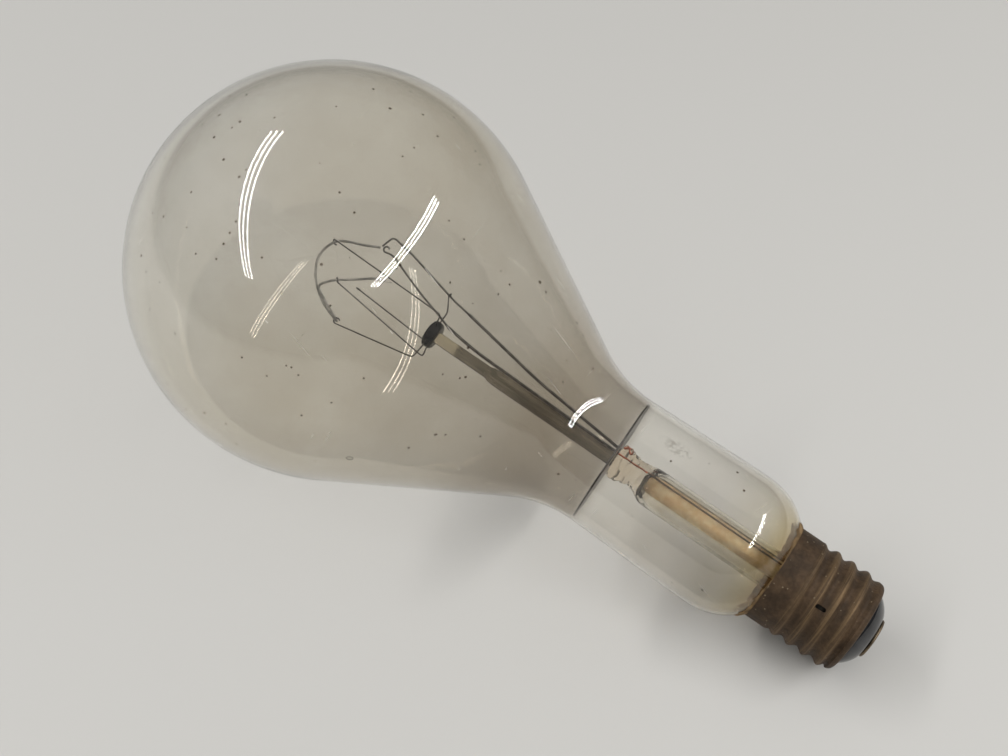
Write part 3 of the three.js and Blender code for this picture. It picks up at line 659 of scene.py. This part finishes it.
def mica_finish():
    """Dark sheet with a dull shine, in patches of two browns."""
    finish, tree, output = new_finish("mica")
    brown, dark = (0.04, 0.033, 0.026), (0.018, 0.015, 0.012)
    flakes = use_group(tree, mottle_group, First=brown, Second=dark, Scale=110.0)
    shader = add_node(
        tree,
        "ShaderNodeBsdfPrincipled",
        {"Base Color": flakes.outputs["Colour"], "Roughness": 0.32, "IOR": 1.58},
    )
    feed(tree, shader.outputs[0], output.inputs["Surface"])
    return finish


disc = skin("mica_sheet", mica_sheet(), loop=True)
disc.data.materials.append(mica_finish())
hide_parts("heat_disc")

# Blown bulb
# Clear glass blown into a globe with a long neck, drawn in at the end and fused to the stem. Metal vapour
# has left a grey-brown film inside, thickest in the cone above the disc, and the outside is dusty and
# scratched.
bulb_sides = 144
bulb_fit = math.cos(math.pi / 36)
globe_radius = 82.48
glass_wall = 1.0
cone_slope = math.radians(30)
cone_fillet = 50.0
neck_radius = 27.4
neck_swell = 1.0
neck_swell_height = 72.0
shoulder_height = 63.5
shoulder_length = 27.0
shoulder_foot = 43.5
seal_radius = 15.6
seal_height = 29.5


def bulb_side(inset):
    """The bulb's outline from its crown down to the neck's end, moved in by the wall: an arc for the
    globe, its tangent cone, a fillet arc, the straight neck, a quarter ellipse and a bend into the
    seal."""
    globe, neck, fillet = globe_radius - inset, neck_radius - inset, cone_fillet + inset
    turn = np.linspace(0, np.pi / 2 + cone_slope, 90)
    globe_arc = np.column_stack([globe * np.sin(turn), light_centre + globe * np.cos(turn)])
    cone_top = globe_arc[-1]
    meet = cone_top[1] - (cone_top[0] - neck) / math.tan(cone_slope)
    turn = np.linspace(np.pi - cone_slope, np.pi, 20)
    fillet_foot = meet - fillet * math.tan(cone_slope / 2)
    fillet_arc = np.column_stack([neck + fillet + fillet * np.cos(turn), fillet_foot + fillet * np.sin(turn)])
    cone = stretch(cone_top, fillet_arc[0], steps=16)[1:-1]
    full = neck + neck_swell
    neck_line = stretch(fillet_arc[-1], (full, neck_swell_height), (full, shoulder_height), steps=10)[1:-1]
    drop = (shoulder_height - shoulder_foot) * np.sin(np.linspace(0, np.pi / 2, 20))
    reach = shoulder_length - inset
    shoulder = np.column_stack([full * np.sqrt(1 - (drop / reach) ** 2), shoulder_height - drop])
    seal = seal_radius - inset
    draw_in = (shoulder[-1, 0] - seal) * 0.87
    corner = np.array([seal, shoulder_foot - draw_in])
    straight = np.array([seal, shoulder_foot - 2 * draw_in])
    t = np.linspace(0, 1, 12)[1:, None]
    bend = (1 - t) ** 2 * shoulder[-1] + 2 * t * (1 - t) * corner + t * t * straight
    end = np.array([(seal, seal_height)])
    return np.vstack([globe_arc, cone, fillet_arc, neck_line, shoulder, bend, end]) * (bulb_fit, 1)


bulb_outside = bulb_side(0)
bulb_profile = np.vstack([bulb_side(glass_wall), bulb_outside[::-1]])
bulb = turned("bulb", bulb_profile, bulb_sides)

film_stops = [
    (42.0, (0.75, 0.64, 0.44)),
    (49.0, (0.87, 0.81, 0.66)),
    (57.0, (0.94, 0.915, 0.85)),
    (75.0, (0.97, 0.96, 0.935)),
    (114.0, (0.96, 0.95, 0.92)),
    (118.0, (0.69, 0.655, 0.60)),
    (146.0, (0.695, 0.65, 0.58)),
    (172.0, (0.79, 0.76, 0.70)),
    (247.0, (0.895, 0.87, 0.81)),
    (300.0, (0.945, 0.935, 0.90)),
    (330.0, (0.96, 0.955, 0.935)),
]

bubble_place = lamp_place(194.2, 62.6, math.radians(-93.3))
bubble_radius = 1.2
bubble_line = 0.3
scuff_place = lamp_place(98.0, 27.2, math.radians(3))
scuff_size = (0.0085, 0.0036, 0.0036)
thin_angle = math.radians(54)
thin_side = math.cos(thin_angle) * upwards + math.sin(thin_angle) * sideways
thin_from = 0.005
thin_to = 0.035
thin_share = 0.3
thin_end = 190.0
thin_fade = 40.0
film_foot = 114.0
film_full = 122.0
hairline_cell = (0.13, 0.0032, 0.0032)
drip_way = math.cos(cone_slope) * towards_crown + math.sin(cone_slope) * upwards
scratch_way = unit(lamp_place(170.0, 50.0, math.radians(-60)) - lamp_place(176.0, 50.0, math.radians(-100)))
globe_middle = lamp_place(light_centre, 0.0, 0.0)
film_mirror = 0.06
film_shade = 0.08


def turned_towards(way):
    """The turn that brings the first axis onto a direction."""
    return tuple(Vector(way).to_track_quat("X", "Z").to_euler())


def bulb_paint(tree):
    """The film's colour by height, clouded, thinner on one side of the cone and marked by dirt, a
    bubble's ring, a scuff and hairlines, which are also rougher. The film's own face, seen from inside,
    is a weak mirror, and the normal swells slowly, as blown glass does."""
    height = use_group(tree, height_group).outputs["Height"]
    share = add_node(tree, "ShaderNodeMapRange", {"Value": height, "From Max": light_centre + globe_radius})
    film = add_node(tree, "ShaderNodeValToRGB", {0: share.outputs[0]})
    ramp = film.color_ramp.elements
    while len(ramp) < len(film_stops):
        ramp.new(0.5)
    for stop, (stop_height, stop_colour) in zip(ramp, film_stops):
        stop.position = stop_height / (light_centre + globe_radius)
        stop.color = (*stop_colour, 1.0)
    place = add_node(tree, "ShaderNodeTexCoord").outputs["Object"]
    aside = vectors(tree, "DOT_PRODUCT", place, tuple(thin_side), "Value")
    middle = float(thin_side @ lamp_foot)
    thinner = ranged(tree, aside, middle + thin_from, middle + thin_to, 0.0, thin_share)
    below_globe = ranged(tree, height, thin_end, thin_end + thin_fade, 1.0, 0.0)
    thinner = sums(tree, "MULTIPLY", thinner, below_globe)
    colour = mixed(tree, thinner, film.outputs["Color"], (0.95, 0.94, 0.91))
    cloud = use_group(tree, mottle_group, First=(1.0, 1.0, 1.0), Second=(0.95, 0.94, 0.925), Scale=22.0)
    colour = mixed(tree, 1.0, colour, cloud.outputs["Colour"], "MULTIPLY")
    fine = use_group(tree, speck_group, Place=place, Scale=110.0, Size=0.06, Share=0.5).outputs["Mask"]
    coarse = use_group(tree, speck_group, Place=place, Scale=45.0, Size=0.035, Share=0.6).outputs["Mask"]
    ring_far = vectors(tree, "DISTANCE", place, tuple(bubble_place), "Value")
    ring = sums(tree, "COMPARE", ring_far, bubble_radius / 1000, bubble_line / 1000)
    dirt = sums(tree, "MAXIMUM", sums(tree, "MAXIMUM", fine, coarse), sums(tree, "MULTIPLY", ring, 0.8))
    colour = mixed(tree, dirt, colour, (0.10, 0.07, 0.05))
    scuff_grid = add_node(
        tree,
        "ShaderNodeMapping",
        {
            "Vector": place,
            "Location": tuple(scuff_place),
            "Rotation": turned_towards(towards_crown),
            "Scale": scuff_size,
        },
        vector_type="TEXTURE",
    ).outputs[0]
    scuff_far = vectors(tree, "LENGTH", scuff_grid, gives="Value")
    blots = add_node(tree, "ShaderNodeTexNoise", {"Vector": place, "Scale": 620.0, "Detail": 3.0})
    scuff_near = ranged(tree, scuff_far, 0.35, 1.0, 0.8, 0.0)
    scuff = sums(tree, "MULTIPLY", scuff_near, ranged(tree, blots.outputs[0], 0.45, 0.6))
    colour = mixed(tree, scuff, colour, (0.58, 0.55, 0.51))
    shape = add_node(tree, "ShaderNodeNewGeometry").outputs
    scratch = 0.0
    for way in (drip_way, scratch_way):
        standing = vectors(tree, "DOT_PRODUCT", shape["True Normal"], tuple(way), "Value")
        lying = ranged(tree, sums(tree, "ABSOLUTE", standing), 0.1, 0.25, 1.0, 0.0)
        drawn_out = add_node(
            tree,
            "ShaderNodeMapping",
            {"Vector": place, "Rotation": turned_towards(way), "Scale": hairline_cell},
            vector_type="TEXTURE",
        ).outputs[0]
        hairline = use_group(tree, speck_group, Place=drawn_out, Scale=1.0, Size=0.05, Share=0.9)
        shown = sums(tree, "MULTIPLY", hairline.outputs["Mask"], lying)
        scratch = sums(tree, "MAXIMUM", shown, scratch)
    colour = mixed(tree, sums(tree, "MULTIPLY", scratch, 0.7), colour, (1.0, 1.0, 0.98))
    wave = add_node(tree, "ShaderNodeTexNoise", {"Vector": place, "Scale": 16.0, "Detail": 1.0})
    swell = add_node(
        tree,
        "ShaderNodeBump",
        {"Strength": 0.2, "Distance": 0.0008, "Height": wave.outputs[0]},
    )
    marks = sums(tree, "MULTIPLY", sums(tree, "MAXIMUM", scratch, scuff), 0.3)
    from_middle = vectors(tree, "SUBTRACT", place, tuple(globe_middle))
    outward = vectors(tree, "DOT_PRODUCT", shape["True Normal"], from_middle, "Value")
    from_hollow = sums(tree, "SUBTRACT", 1.0, shape["Backfacing"])
    inner = sums(tree, "MULTIPLY", sums(tree, "LESS_THAN", outward), from_hollow)
    metal = sums(tree, "MULTIPLY", inner, ranged(tree, height, film_foot, film_full, 0.0, film_mirror))
    shade = mixed(tree, film_shade, (1.0, 1.0, 1.0), colour)
    return colour, marks, metal, swell.outputs[0], shade


bulb.data.materials.append(glass_finish("bulb_glass", bulb_paint, (0.34, 0.33, 0.28), 0.8))
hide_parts("glass_bulb")

# Cement
# Baked cement between the drawn-in neck and the shell's skirt. It has squeezed out above the rim in a
# ragged edge that lies on the glass.
cement_sides = 180
shell_fit = math.cos(math.pi / 30)
shell_rim = 43.0
shell_sheet = 0.5
skirt_radius = 19.5 * shell_fit
cement_foot = 31.0
cement_gap = 0.15
cement_reach = 3.4
smear_angle = math.radians(54)


def ragged(angle):
    """How far the cement stands above the rim round the neck: it was smeared up on two sides, and its
    edge is broken by several waves of different lengths."""
    waves = np.sin(5 * angle + 0.4) + 0.7 * np.sin(23 * angle)
    waves = waves + 0.9 * np.sin(11 * angle + 2.1) * np.sin(3 * angle)
    smeared = np.cos(angle - smear_angle) ** 2
    return 0.35 + smeared * (2.1 + 0.8 * waves + 0.5 * np.sin(37 * angle + 1.0) * np.sin(6 * angle))


def glass_at(height):
    """The bulb's outside radius at heights on its drawn-in end."""
    low_end = bulb_outside[::-1][:40]
    return np.interp(height, low_end[:, 1], low_end[:, 0])


def cement_ring():
    """A ring that lies on the neck from its foot to a ragged top edge, thin there and full inside the
    skirt."""
    angle = np.linspace(0, 2 * np.pi, cement_sides, endpoint=False)
    top = shell_rim + np.clip(ragged(angle), cement_gap, cement_reach)
    share = np.linspace(0, 1, 14)[:, None]
    inner_height = cement_foot + (top - cement_foot) * share
    inner = glass_at(inner_height) + cement_gap
    outer_height = inner_height[::-1]
    room = skirt_radius - shell_sheet - 0.2 - 1.6 * smooth_step(-outer_height, -36.0, -34.0)
    thin = glass_at(outer_height) + cement_gap + 0.55 * np.sqrt(np.clip((top - outer_height) / 1.2, 0, 1))
    inside_skirt = smooth_step(-outer_height, -(shell_rim + 0.3), -(shell_rim - 0.2))
    outer = np.where(outer_height < shell_rim, np.minimum(room, thin + 8 * inside_skirt), thin)
    outer = np.maximum(outer, glass_at(outer_height) + 0.16)
    return lamp_place(np.vstack([outer_height, inner_height]), np.vstack([outer, inner]), angle)[::-1]


def cement_finish():
    """Rough baked cement in patches of two browns, with a fine grain in relief."""
    finish, tree, output = new_finish("cement")
    tone = use_group(tree, mottle_group, First=(0.30, 0.19, 0.085), Second=(0.13, 0.08, 0.035), Scale=240.0)
    grain = use_group(tree, mottle_group, First=(0.0, 0.0, 0.0), Second=(1.0, 1.0, 1.0), Scale=900.0)
    relief = add_node(
        tree,
        "ShaderNodeBump",
        {"Strength": 0.6, "Distance": 0.0003, "Height": grain.outputs["Share"]},
    )
    shader = add_node(
        tree,
        "ShaderNodeBsdfPrincipled",
        {"Base Color": tone.outputs["Colour"], "Roughness": 0.85, "Normal": relief.outputs[0]},
    )
    feed(tree, shader.outputs[0], output.inputs["Surface"])
    return finish


cement = skin("cement_ring", cement_ring(), loop=True)
cement.data.materials.append(cement_finish())
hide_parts("base_cement")

# Screw shell
# Thin brass drawn to a cup, its thread rolled in and its end turned in over the insulator, with one
# punched slot over the side wire's joint. The brass has gone dark brown. On the crests it is lighter golden
# brass, partly from wear and partly as a painted highlight along the thread.
shell_sides = 192
thread_radius = 19.75 * shell_fit
thread_depth = 1.6
thread_pitch = 6.35
thread_crest = 20.4
thread_run_out = 3.0
thread_top = 35.0
thread_bottom = 8.8
lip_radius = 15.3
lip_height = 6.6
lip_bend = 2.2
shell_draw_in = 0.75
shell_ding = 0.10
slot_length = 4.2
slot_width = 1.7
slot_height = 23.5
slot_angle = math.radians(-40)


def shell_side(inset, angle):
    """One side of the sheet from the lip to the rim: a rolled lip, then a cosine thread whose crest
    climbs by a pitch each turn and runs out at both ends, then the plain skirt. Gives radius, height and
    a crest mask that carries the crests' wear and also a painted highlight along them."""
    turn = np.linspace(0, np.pi / 2, 10)[:, None]
    bend_start = thread_radius - 0.95 - lip_bend
    lip = np.linspace(lip_radius, bend_start, 5, endpoint=False)[:, None]
    wall = np.vstack([
        np.linspace(thread_bottom + 0.2, thread_top, 110)[:, None],
        np.linspace(thread_top + 0.6, shell_rim, 10)[:, None],
    ])
    height = np.vstack([
        np.full_like(lip, lip_height + inset),
        lip_height + inset + (lip_bend - inset) * (1 - np.cos(turn)),
        wall,
    ])
    plain = np.vstack([
        lip,
        bend_start + (lip_bend - inset) * np.sin(turn),
        np.full_like(wall, skirt_radius - inset),
    ])
    on_wall = (np.arange(len(height)) >= len(height) - len(wall))[:, None]
    threaded = smooth_step(thread_top - height, 0, thread_run_out)
    threaded = np.minimum(threaded, smooth_step(height - thread_bottom, -0.5, thread_run_out / 2)) * on_wall
    turns = (height - thread_crest) / thread_pitch - angle / (2 * np.pi)
    wave = (1 - np.cos(2 * np.pi * turns)) / 2
    end_draw = shell_draw_in * (1 - smooth_step(height - thread_bottom, 0, thread_run_out)) * on_wall
    radius = plain + threaded * (thread_radius - skirt_radius - thread_depth * wave) - end_draw
    dings = shell_ding * np.clip(np.sin(9 * angle + height) * np.sin(4 * angle - 0.7 * height) - 0.7, 0, 1)
    # Crest mask: wear on the thread's crests, which also places a painted highlight along them.
    crest_wear_and_highlight = threaded * (1 - wave) ** 2
    return radius - dings, height + 0 * angle, crest_wear_and_highlight + 0 * radius


def shell_sheet_grid():
    """The sheet's outside from lip to rim and back down its inside, with each point's crest mask of wear and
    painted highlight.
    """
    angle = np.linspace(0, 2 * np.pi, shell_sides, endpoint=False)
    outside = shell_side(0, angle)
    inside = shell_side(shell_sheet, angle)
    radius, height, crest_wear_and_highlight = (np.vstack([a, b[::-1]]) for a, b in zip(outside, inside))
    return lamp_place(height, radius, angle), crest_wear_and_highlight


def punched(piece, tool):
    """Cuts a tool's shape out of a piece and keeps the result as the piece's own mesh."""
    work = bmesh.new()
    work.from_mesh(tool.data)
    bmesh.ops.recalc_face_normals(work, faces=work.faces)
    work.to_mesh(tool.data)
    work.free()
    cut = piece.modifiers.new("slot", "BOOLEAN")
    cut.object = tool
    cut.solver = "EXACT"
    bpy.context.view_layer.update()
    made = bpy.data.meshes.new_from_object(piece.evaluated_get(bpy.context.evaluated_depsgraph_get()))
    piece.modifiers.clear()
    piece.data = made
    bpy.data.objects.remove(tool)
    made.set_sharp_from_angle(angle=math.radians(50))


def slot_punch():
    """A punch with half-round ends: a stadium outline carried out along the radius, through the sheet."""
    turn = np.linspace(0, 2 * np.pi, 24, endpoint=False)
    straight = (slot_length - slot_width) / 2
    high = straight * np.sign(np.cos(turn) + 1e-9) + slot_width / 2 * np.cos(turn)
    wide = slot_width / 2 * np.sin(turn)
    size = np.array([0.0, 1.0, 1.0, 0.0])[:, None]
    reach = np.array([-4.0, -4.0, 2.0, 2.0])[:, None] + thread_radius
    side = wide * size
    return lamp_place(slot_height + high * size, np.hypot(reach, side), slot_angle + np.arctan2(side, reach))


def shell_finish():
    """Brown oxide in patches times a fine bloom. On the thread's crests, streaks round it go over to lighter
    bare brass, smoother and more metallic: partly wear, partly a painted highlight along the crests. Small
    chips of it show all over."""
    finish, tree, output = new_finish("shell_brass")
    light_oxide, dark_oxide = (0.100, 0.062, 0.034), (0.052, 0.033, 0.019)
    oxide = use_group(tree, mottle_group, First=light_oxide, Second=dark_oxide, Scale=130.0)
    bloom = use_group(tree, mottle_group, First=(1.0, 1.0, 1.0), Second=(0.74, 0.72, 0.70), Scale=700.0)
    brown = mixed(tree, 1.0, oxide.outputs["Colour"], bloom.outputs["Colour"], "MULTIPLY")
    crest_wear_and_highlight = add_node(tree, "ShaderNodeAttribute", attribute_name="crest_wear_and_highlight").outputs["Fac"]
    rings = use_group(tree, streak_group, Along=1500.0, Across=32.0).outputs["Share"]
    crest_streaks_wear_and_highlight = sums(tree, "MULTIPLY", crest_wear_and_highlight, ranged(tree, rings, 0.0, 1.0, 0.1, 0.62))
    # Lighter golden brass on the crests: wear, and also a painted highlight along the thread.
    wear_and_sheen = mixed(tree, crest_streaks_wear_and_highlight, brown, (0.25, 0.165, 0.085))
    place = add_node(tree, "ShaderNodeTexCoord").outputs["Object"]
    chips = use_group(tree, speck_group, Place=place, Scale=620.0, Size=0.17, Share=0.16).outputs["Mask"]
    colour = mixed(tree, chips, wear_and_sheen, (0.26, 0.20, 0.13))
    dull = ranged(tree, crest_streaks_wear_and_highlight, 0.0, 1.0, 0.62, 0.42)
    bare = ranged(tree, crest_streaks_wear_and_highlight, 0.0, 1.0, 0.15, 0.75)
    relief = add_node(
        tree,
        "ShaderNodeBump",
        {"Strength": 0.35, "Distance": 0.0002, "Height": bloom.outputs["Share"]},
    )
    shader = add_node(
        tree,
        "ShaderNodeBsdfPrincipled",
        {
            "Base Color": colour,
            "Roughness": dull,
            "Metallic": bare,
            "Specular IOR Level": 0.25,
            "Normal": relief.outputs[0],
        },
    )
    feed(tree, shader.outputs[0], output.inputs["Surface"])
    return finish


# The crest mask of wear and painted highlight goes onto the shell's mesh as an attribute.
shell_points, shell_crest_wear_and_highlight = shell_sheet_grid()
shell = skin("shell", shell_points, loop=True)
rub_mark = shell.data.attributes.new("crest_wear_and_highlight", "FLOAT", "POINT")
rub_mark.data.foreach_set("value", shell_crest_wear_and_highlight.ravel().astype(np.float32))
punched(shell, skin("slot_punch", slot_punch()))
shell_brass = shell_finish()
shell.data.materials.clear()
shell.data.materials.append(shell_brass)
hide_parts("screw_shell")

side_joint = frame["nodes"]["side_solder"].data
side_joint.materials.clear()
side_joint.materials.append(wire_finish("burnt_solder", (0.018, 0.016, 0.014), (0.04, 0.036, 0.03), 0.7))

# Insulator
# Black glass cast in the shell's end, where the turned-in lip holds it. It is domed outside and has a
# hole for the centre wire.
insulator_hole = 0.85
insulator_inside = 16.2
insulator_top = 11.0
base_sides = 120
base_fit = math.cos(math.pi / 28)
contact_radius = 8.0
contact_seat = contact_thickness + 0.1
insulator_profile = np.array([
    (insulator_hole, contact_seat), (contact_radius + 0.5, contact_seat),
    (contact_radius + 1.8, contact_seat + 0.35), (contact_radius + 3, contact_seat + 1.0),
    (contact_radius + 4.3, contact_seat + 1.9), (contact_radius + 5.4, contact_seat + 2.9),
    (contact_radius + 6.2, contact_seat + 3.7), (lip_radius - 0.6, lip_height - 0.9),
    (lip_radius - 0.3, lip_height - 0.4), (lip_radius - 0.2, lip_height),
    (lip_radius - 0.2, lip_height + shell_sheet + 0.1), (insulator_inside, lip_height + shell_sheet + 1.5),
    (insulator_inside, insulator_top), (insulator_hole, insulator_top),
]) * (base_fit, 1)
insulator = turned("insulator", insulator_profile, base_sides, loop=True)
insulator.data.materials.append(black_glass)
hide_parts("base_insulator")

# Centre contact
# A flat brass washer on the insulator, rounded at its edge and tarnished. The centre wire comes up
# through its hole and is soldered there.
contact_hole = 1.5
contact_profile = np.array([
    (contact_hole, 0.0), (contact_radius - 0.6, 0.0), (contact_radius - 0.3, 0.08),
    (contact_radius - 0.08, 0.25), (contact_radius, 0.5), (contact_radius, contact_thickness),
    (contact_hole, contact_thickness),
]) * (base_fit, 1)
contact = turned("contact_washer", contact_profile, base_sides, loop=True)
contact.data.materials.append(wire_finish("contact_brass", (0.22, 0.17, 0.11), (0.12, 0.09, 0.06), 0.45))
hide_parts("centre_contact")

centre_joint = frame["nodes"]["centre_solder"].data
centre_joint.materials.clear()
centre_joint.materials.append(wire_finish("solder", (0.22, 0.22, 0.215), (0.36, 0.36, 0.35), 0.5))

# Floor and light
# A plain pale floor under the lamp, with a painted pool of light: its colour is darker far away, so that it
# is not mirrored bright in the glass. Two long strips of tubes overhead light it, with a little light from
# all round.
floor_half = 6.0
floor_near = 0.8
floor_far = 2.2
floor_pale = (0.66, 0.65, 0.625)
floor_painted_dark = (0.16, 0.16, 0.155)
floor_mesh = bpy.data.meshes.new("pale_floor")
floor_mesh.from_pydata(
    [(x * floor_half, y * floor_half, 0) for x, y in ((-1, -1), (1, -1), (1, 1), (-1, 1))],
    [],
    [(0, 1, 2, 3)],
)
floor = bpy.data.objects.new("pale_floor", floor_mesh)
bpy.context.scene.collection.objects.link(floor)
floor_finish, floor_tree, floor_output = new_finish("pale_floor")
floor_place = add_node(floor_tree, "ShaderNodeTexCoord").outputs["Object"]
floor_away = vectors(floor_tree, "LENGTH", floor_place, gives="Value")
# Painted pool of light: the colour goes from pale near the lamp to painted darkness far away.
floor_painted_pool = ranged(floor_tree, floor_away, floor_near, floor_far)
floor_colour = mixed(floor_tree, floor_painted_pool, floor_pale, floor_painted_dark)
floor_shader = add_node(
    floor_tree,
    "ShaderNodeBsdfPrincipled",
    {"Base Color": floor_colour, "Roughness": 0.45, "Specular IOR Level": 0.3},
)
feed(floor_tree, floor_shader.outputs[0], floor_output.inputs["Surface"])
floor_mesh.materials.append(floor_finish)

strip_height = 1.6
tube_width = 0.018
tube_gap = 0.1
tubes_in_strip = 3
left_power = 22
right_power = 46
room_strength = 0.42


def strip_light(name, start, end, power):
    """A strip of parallel tubes from start to end, facing down, that share its power."""
    start, end = np.array(start), np.array(end)
    aside = unit(np.array([start[1] - end[1], end[0] - start[0]])) * tube_gap
    for tube_number in range(tubes_in_strip):
        lamp = bpy.data.lights.new(f"{name}_{tube_number}", "AREA")
        lamp.shape = "RECTANGLE"
        lamp.size = float(np.linalg.norm(end - start))
        lamp.size_y = tube_width
        lamp.energy = power / tubes_in_strip
        light = bpy.data.objects.new(lamp.name, lamp)
        middle = (start + end) / 2 + aside * (tube_number - (tubes_in_strip - 1) / 2)
        light.location = (*middle, strip_height)
        light.rotation_euler = (0, 0, math.atan2(end[1] - start[1], end[0] - start[0]))
        bpy.context.scene.collection.objects.link(light)


strip_light("left_strip", (-1.25, 0.5), (-0.75, -2.6), left_power)
strip_light("right_strip", (1.35, 1.32), (2.1, -1.2), right_power)

room = bpy.data.worlds.new("room")
room.use_nodes = True
room_tree = room.node_tree
room_up = add_node(room_tree, "ShaderNodeTexCoord").outputs["Generated"]
room_height = add_node(room_tree, "ShaderNodeSeparateXYZ", {0: room_up}).outputs["Z"]
room_share = ranged(room_tree, room_height, 0.0, 0.8)
room_colour = mixed(room_tree, room_share, (0.16, 0.16, 0.16), (0.95, 0.94, 0.91))
feed(room_tree, room_colour, room_tree.nodes["Background"].inputs["Color"])
room_tree.nodes["Background"].inputs["Strength"].default_value = room_strength
bpy.context.scene.world = room

# Camera
# It looks down at the lamp from the base's side. Its place and turn were fitted to the photograph's
# outline, at a focal length in pixels on a picture of that width.
camera_focus = 1500
picture_width = 1008
sensor_width = 36.0
camera_data = bpy.data.cameras.new("camera")
camera_data.sensor_width = sensor_width
camera_data.lens = sensor_width * camera_focus / picture_width
camera = bpy.data.objects.new("camera", camera_data)
camera.location = (0.2087, -0.3334, 0.4851)
camera_elevation = 46.80
camera_turn = 32.20
camera.rotation_euler = (math.radians(90 - camera_elevation), 0, math.radians(camera_turn))
bpy.context.scene.collection.objects.link(camera)
bpy.context.scene.camera = camera

bpy.context.scene.view_settings.view_transform = "Standard"
bpy.context.scene.cycles.max_bounces = 24
bpy.context.scene.cycles.transmission_bounces = 24
bpy.context.scene.cycles.transparent_max_bounces = 32
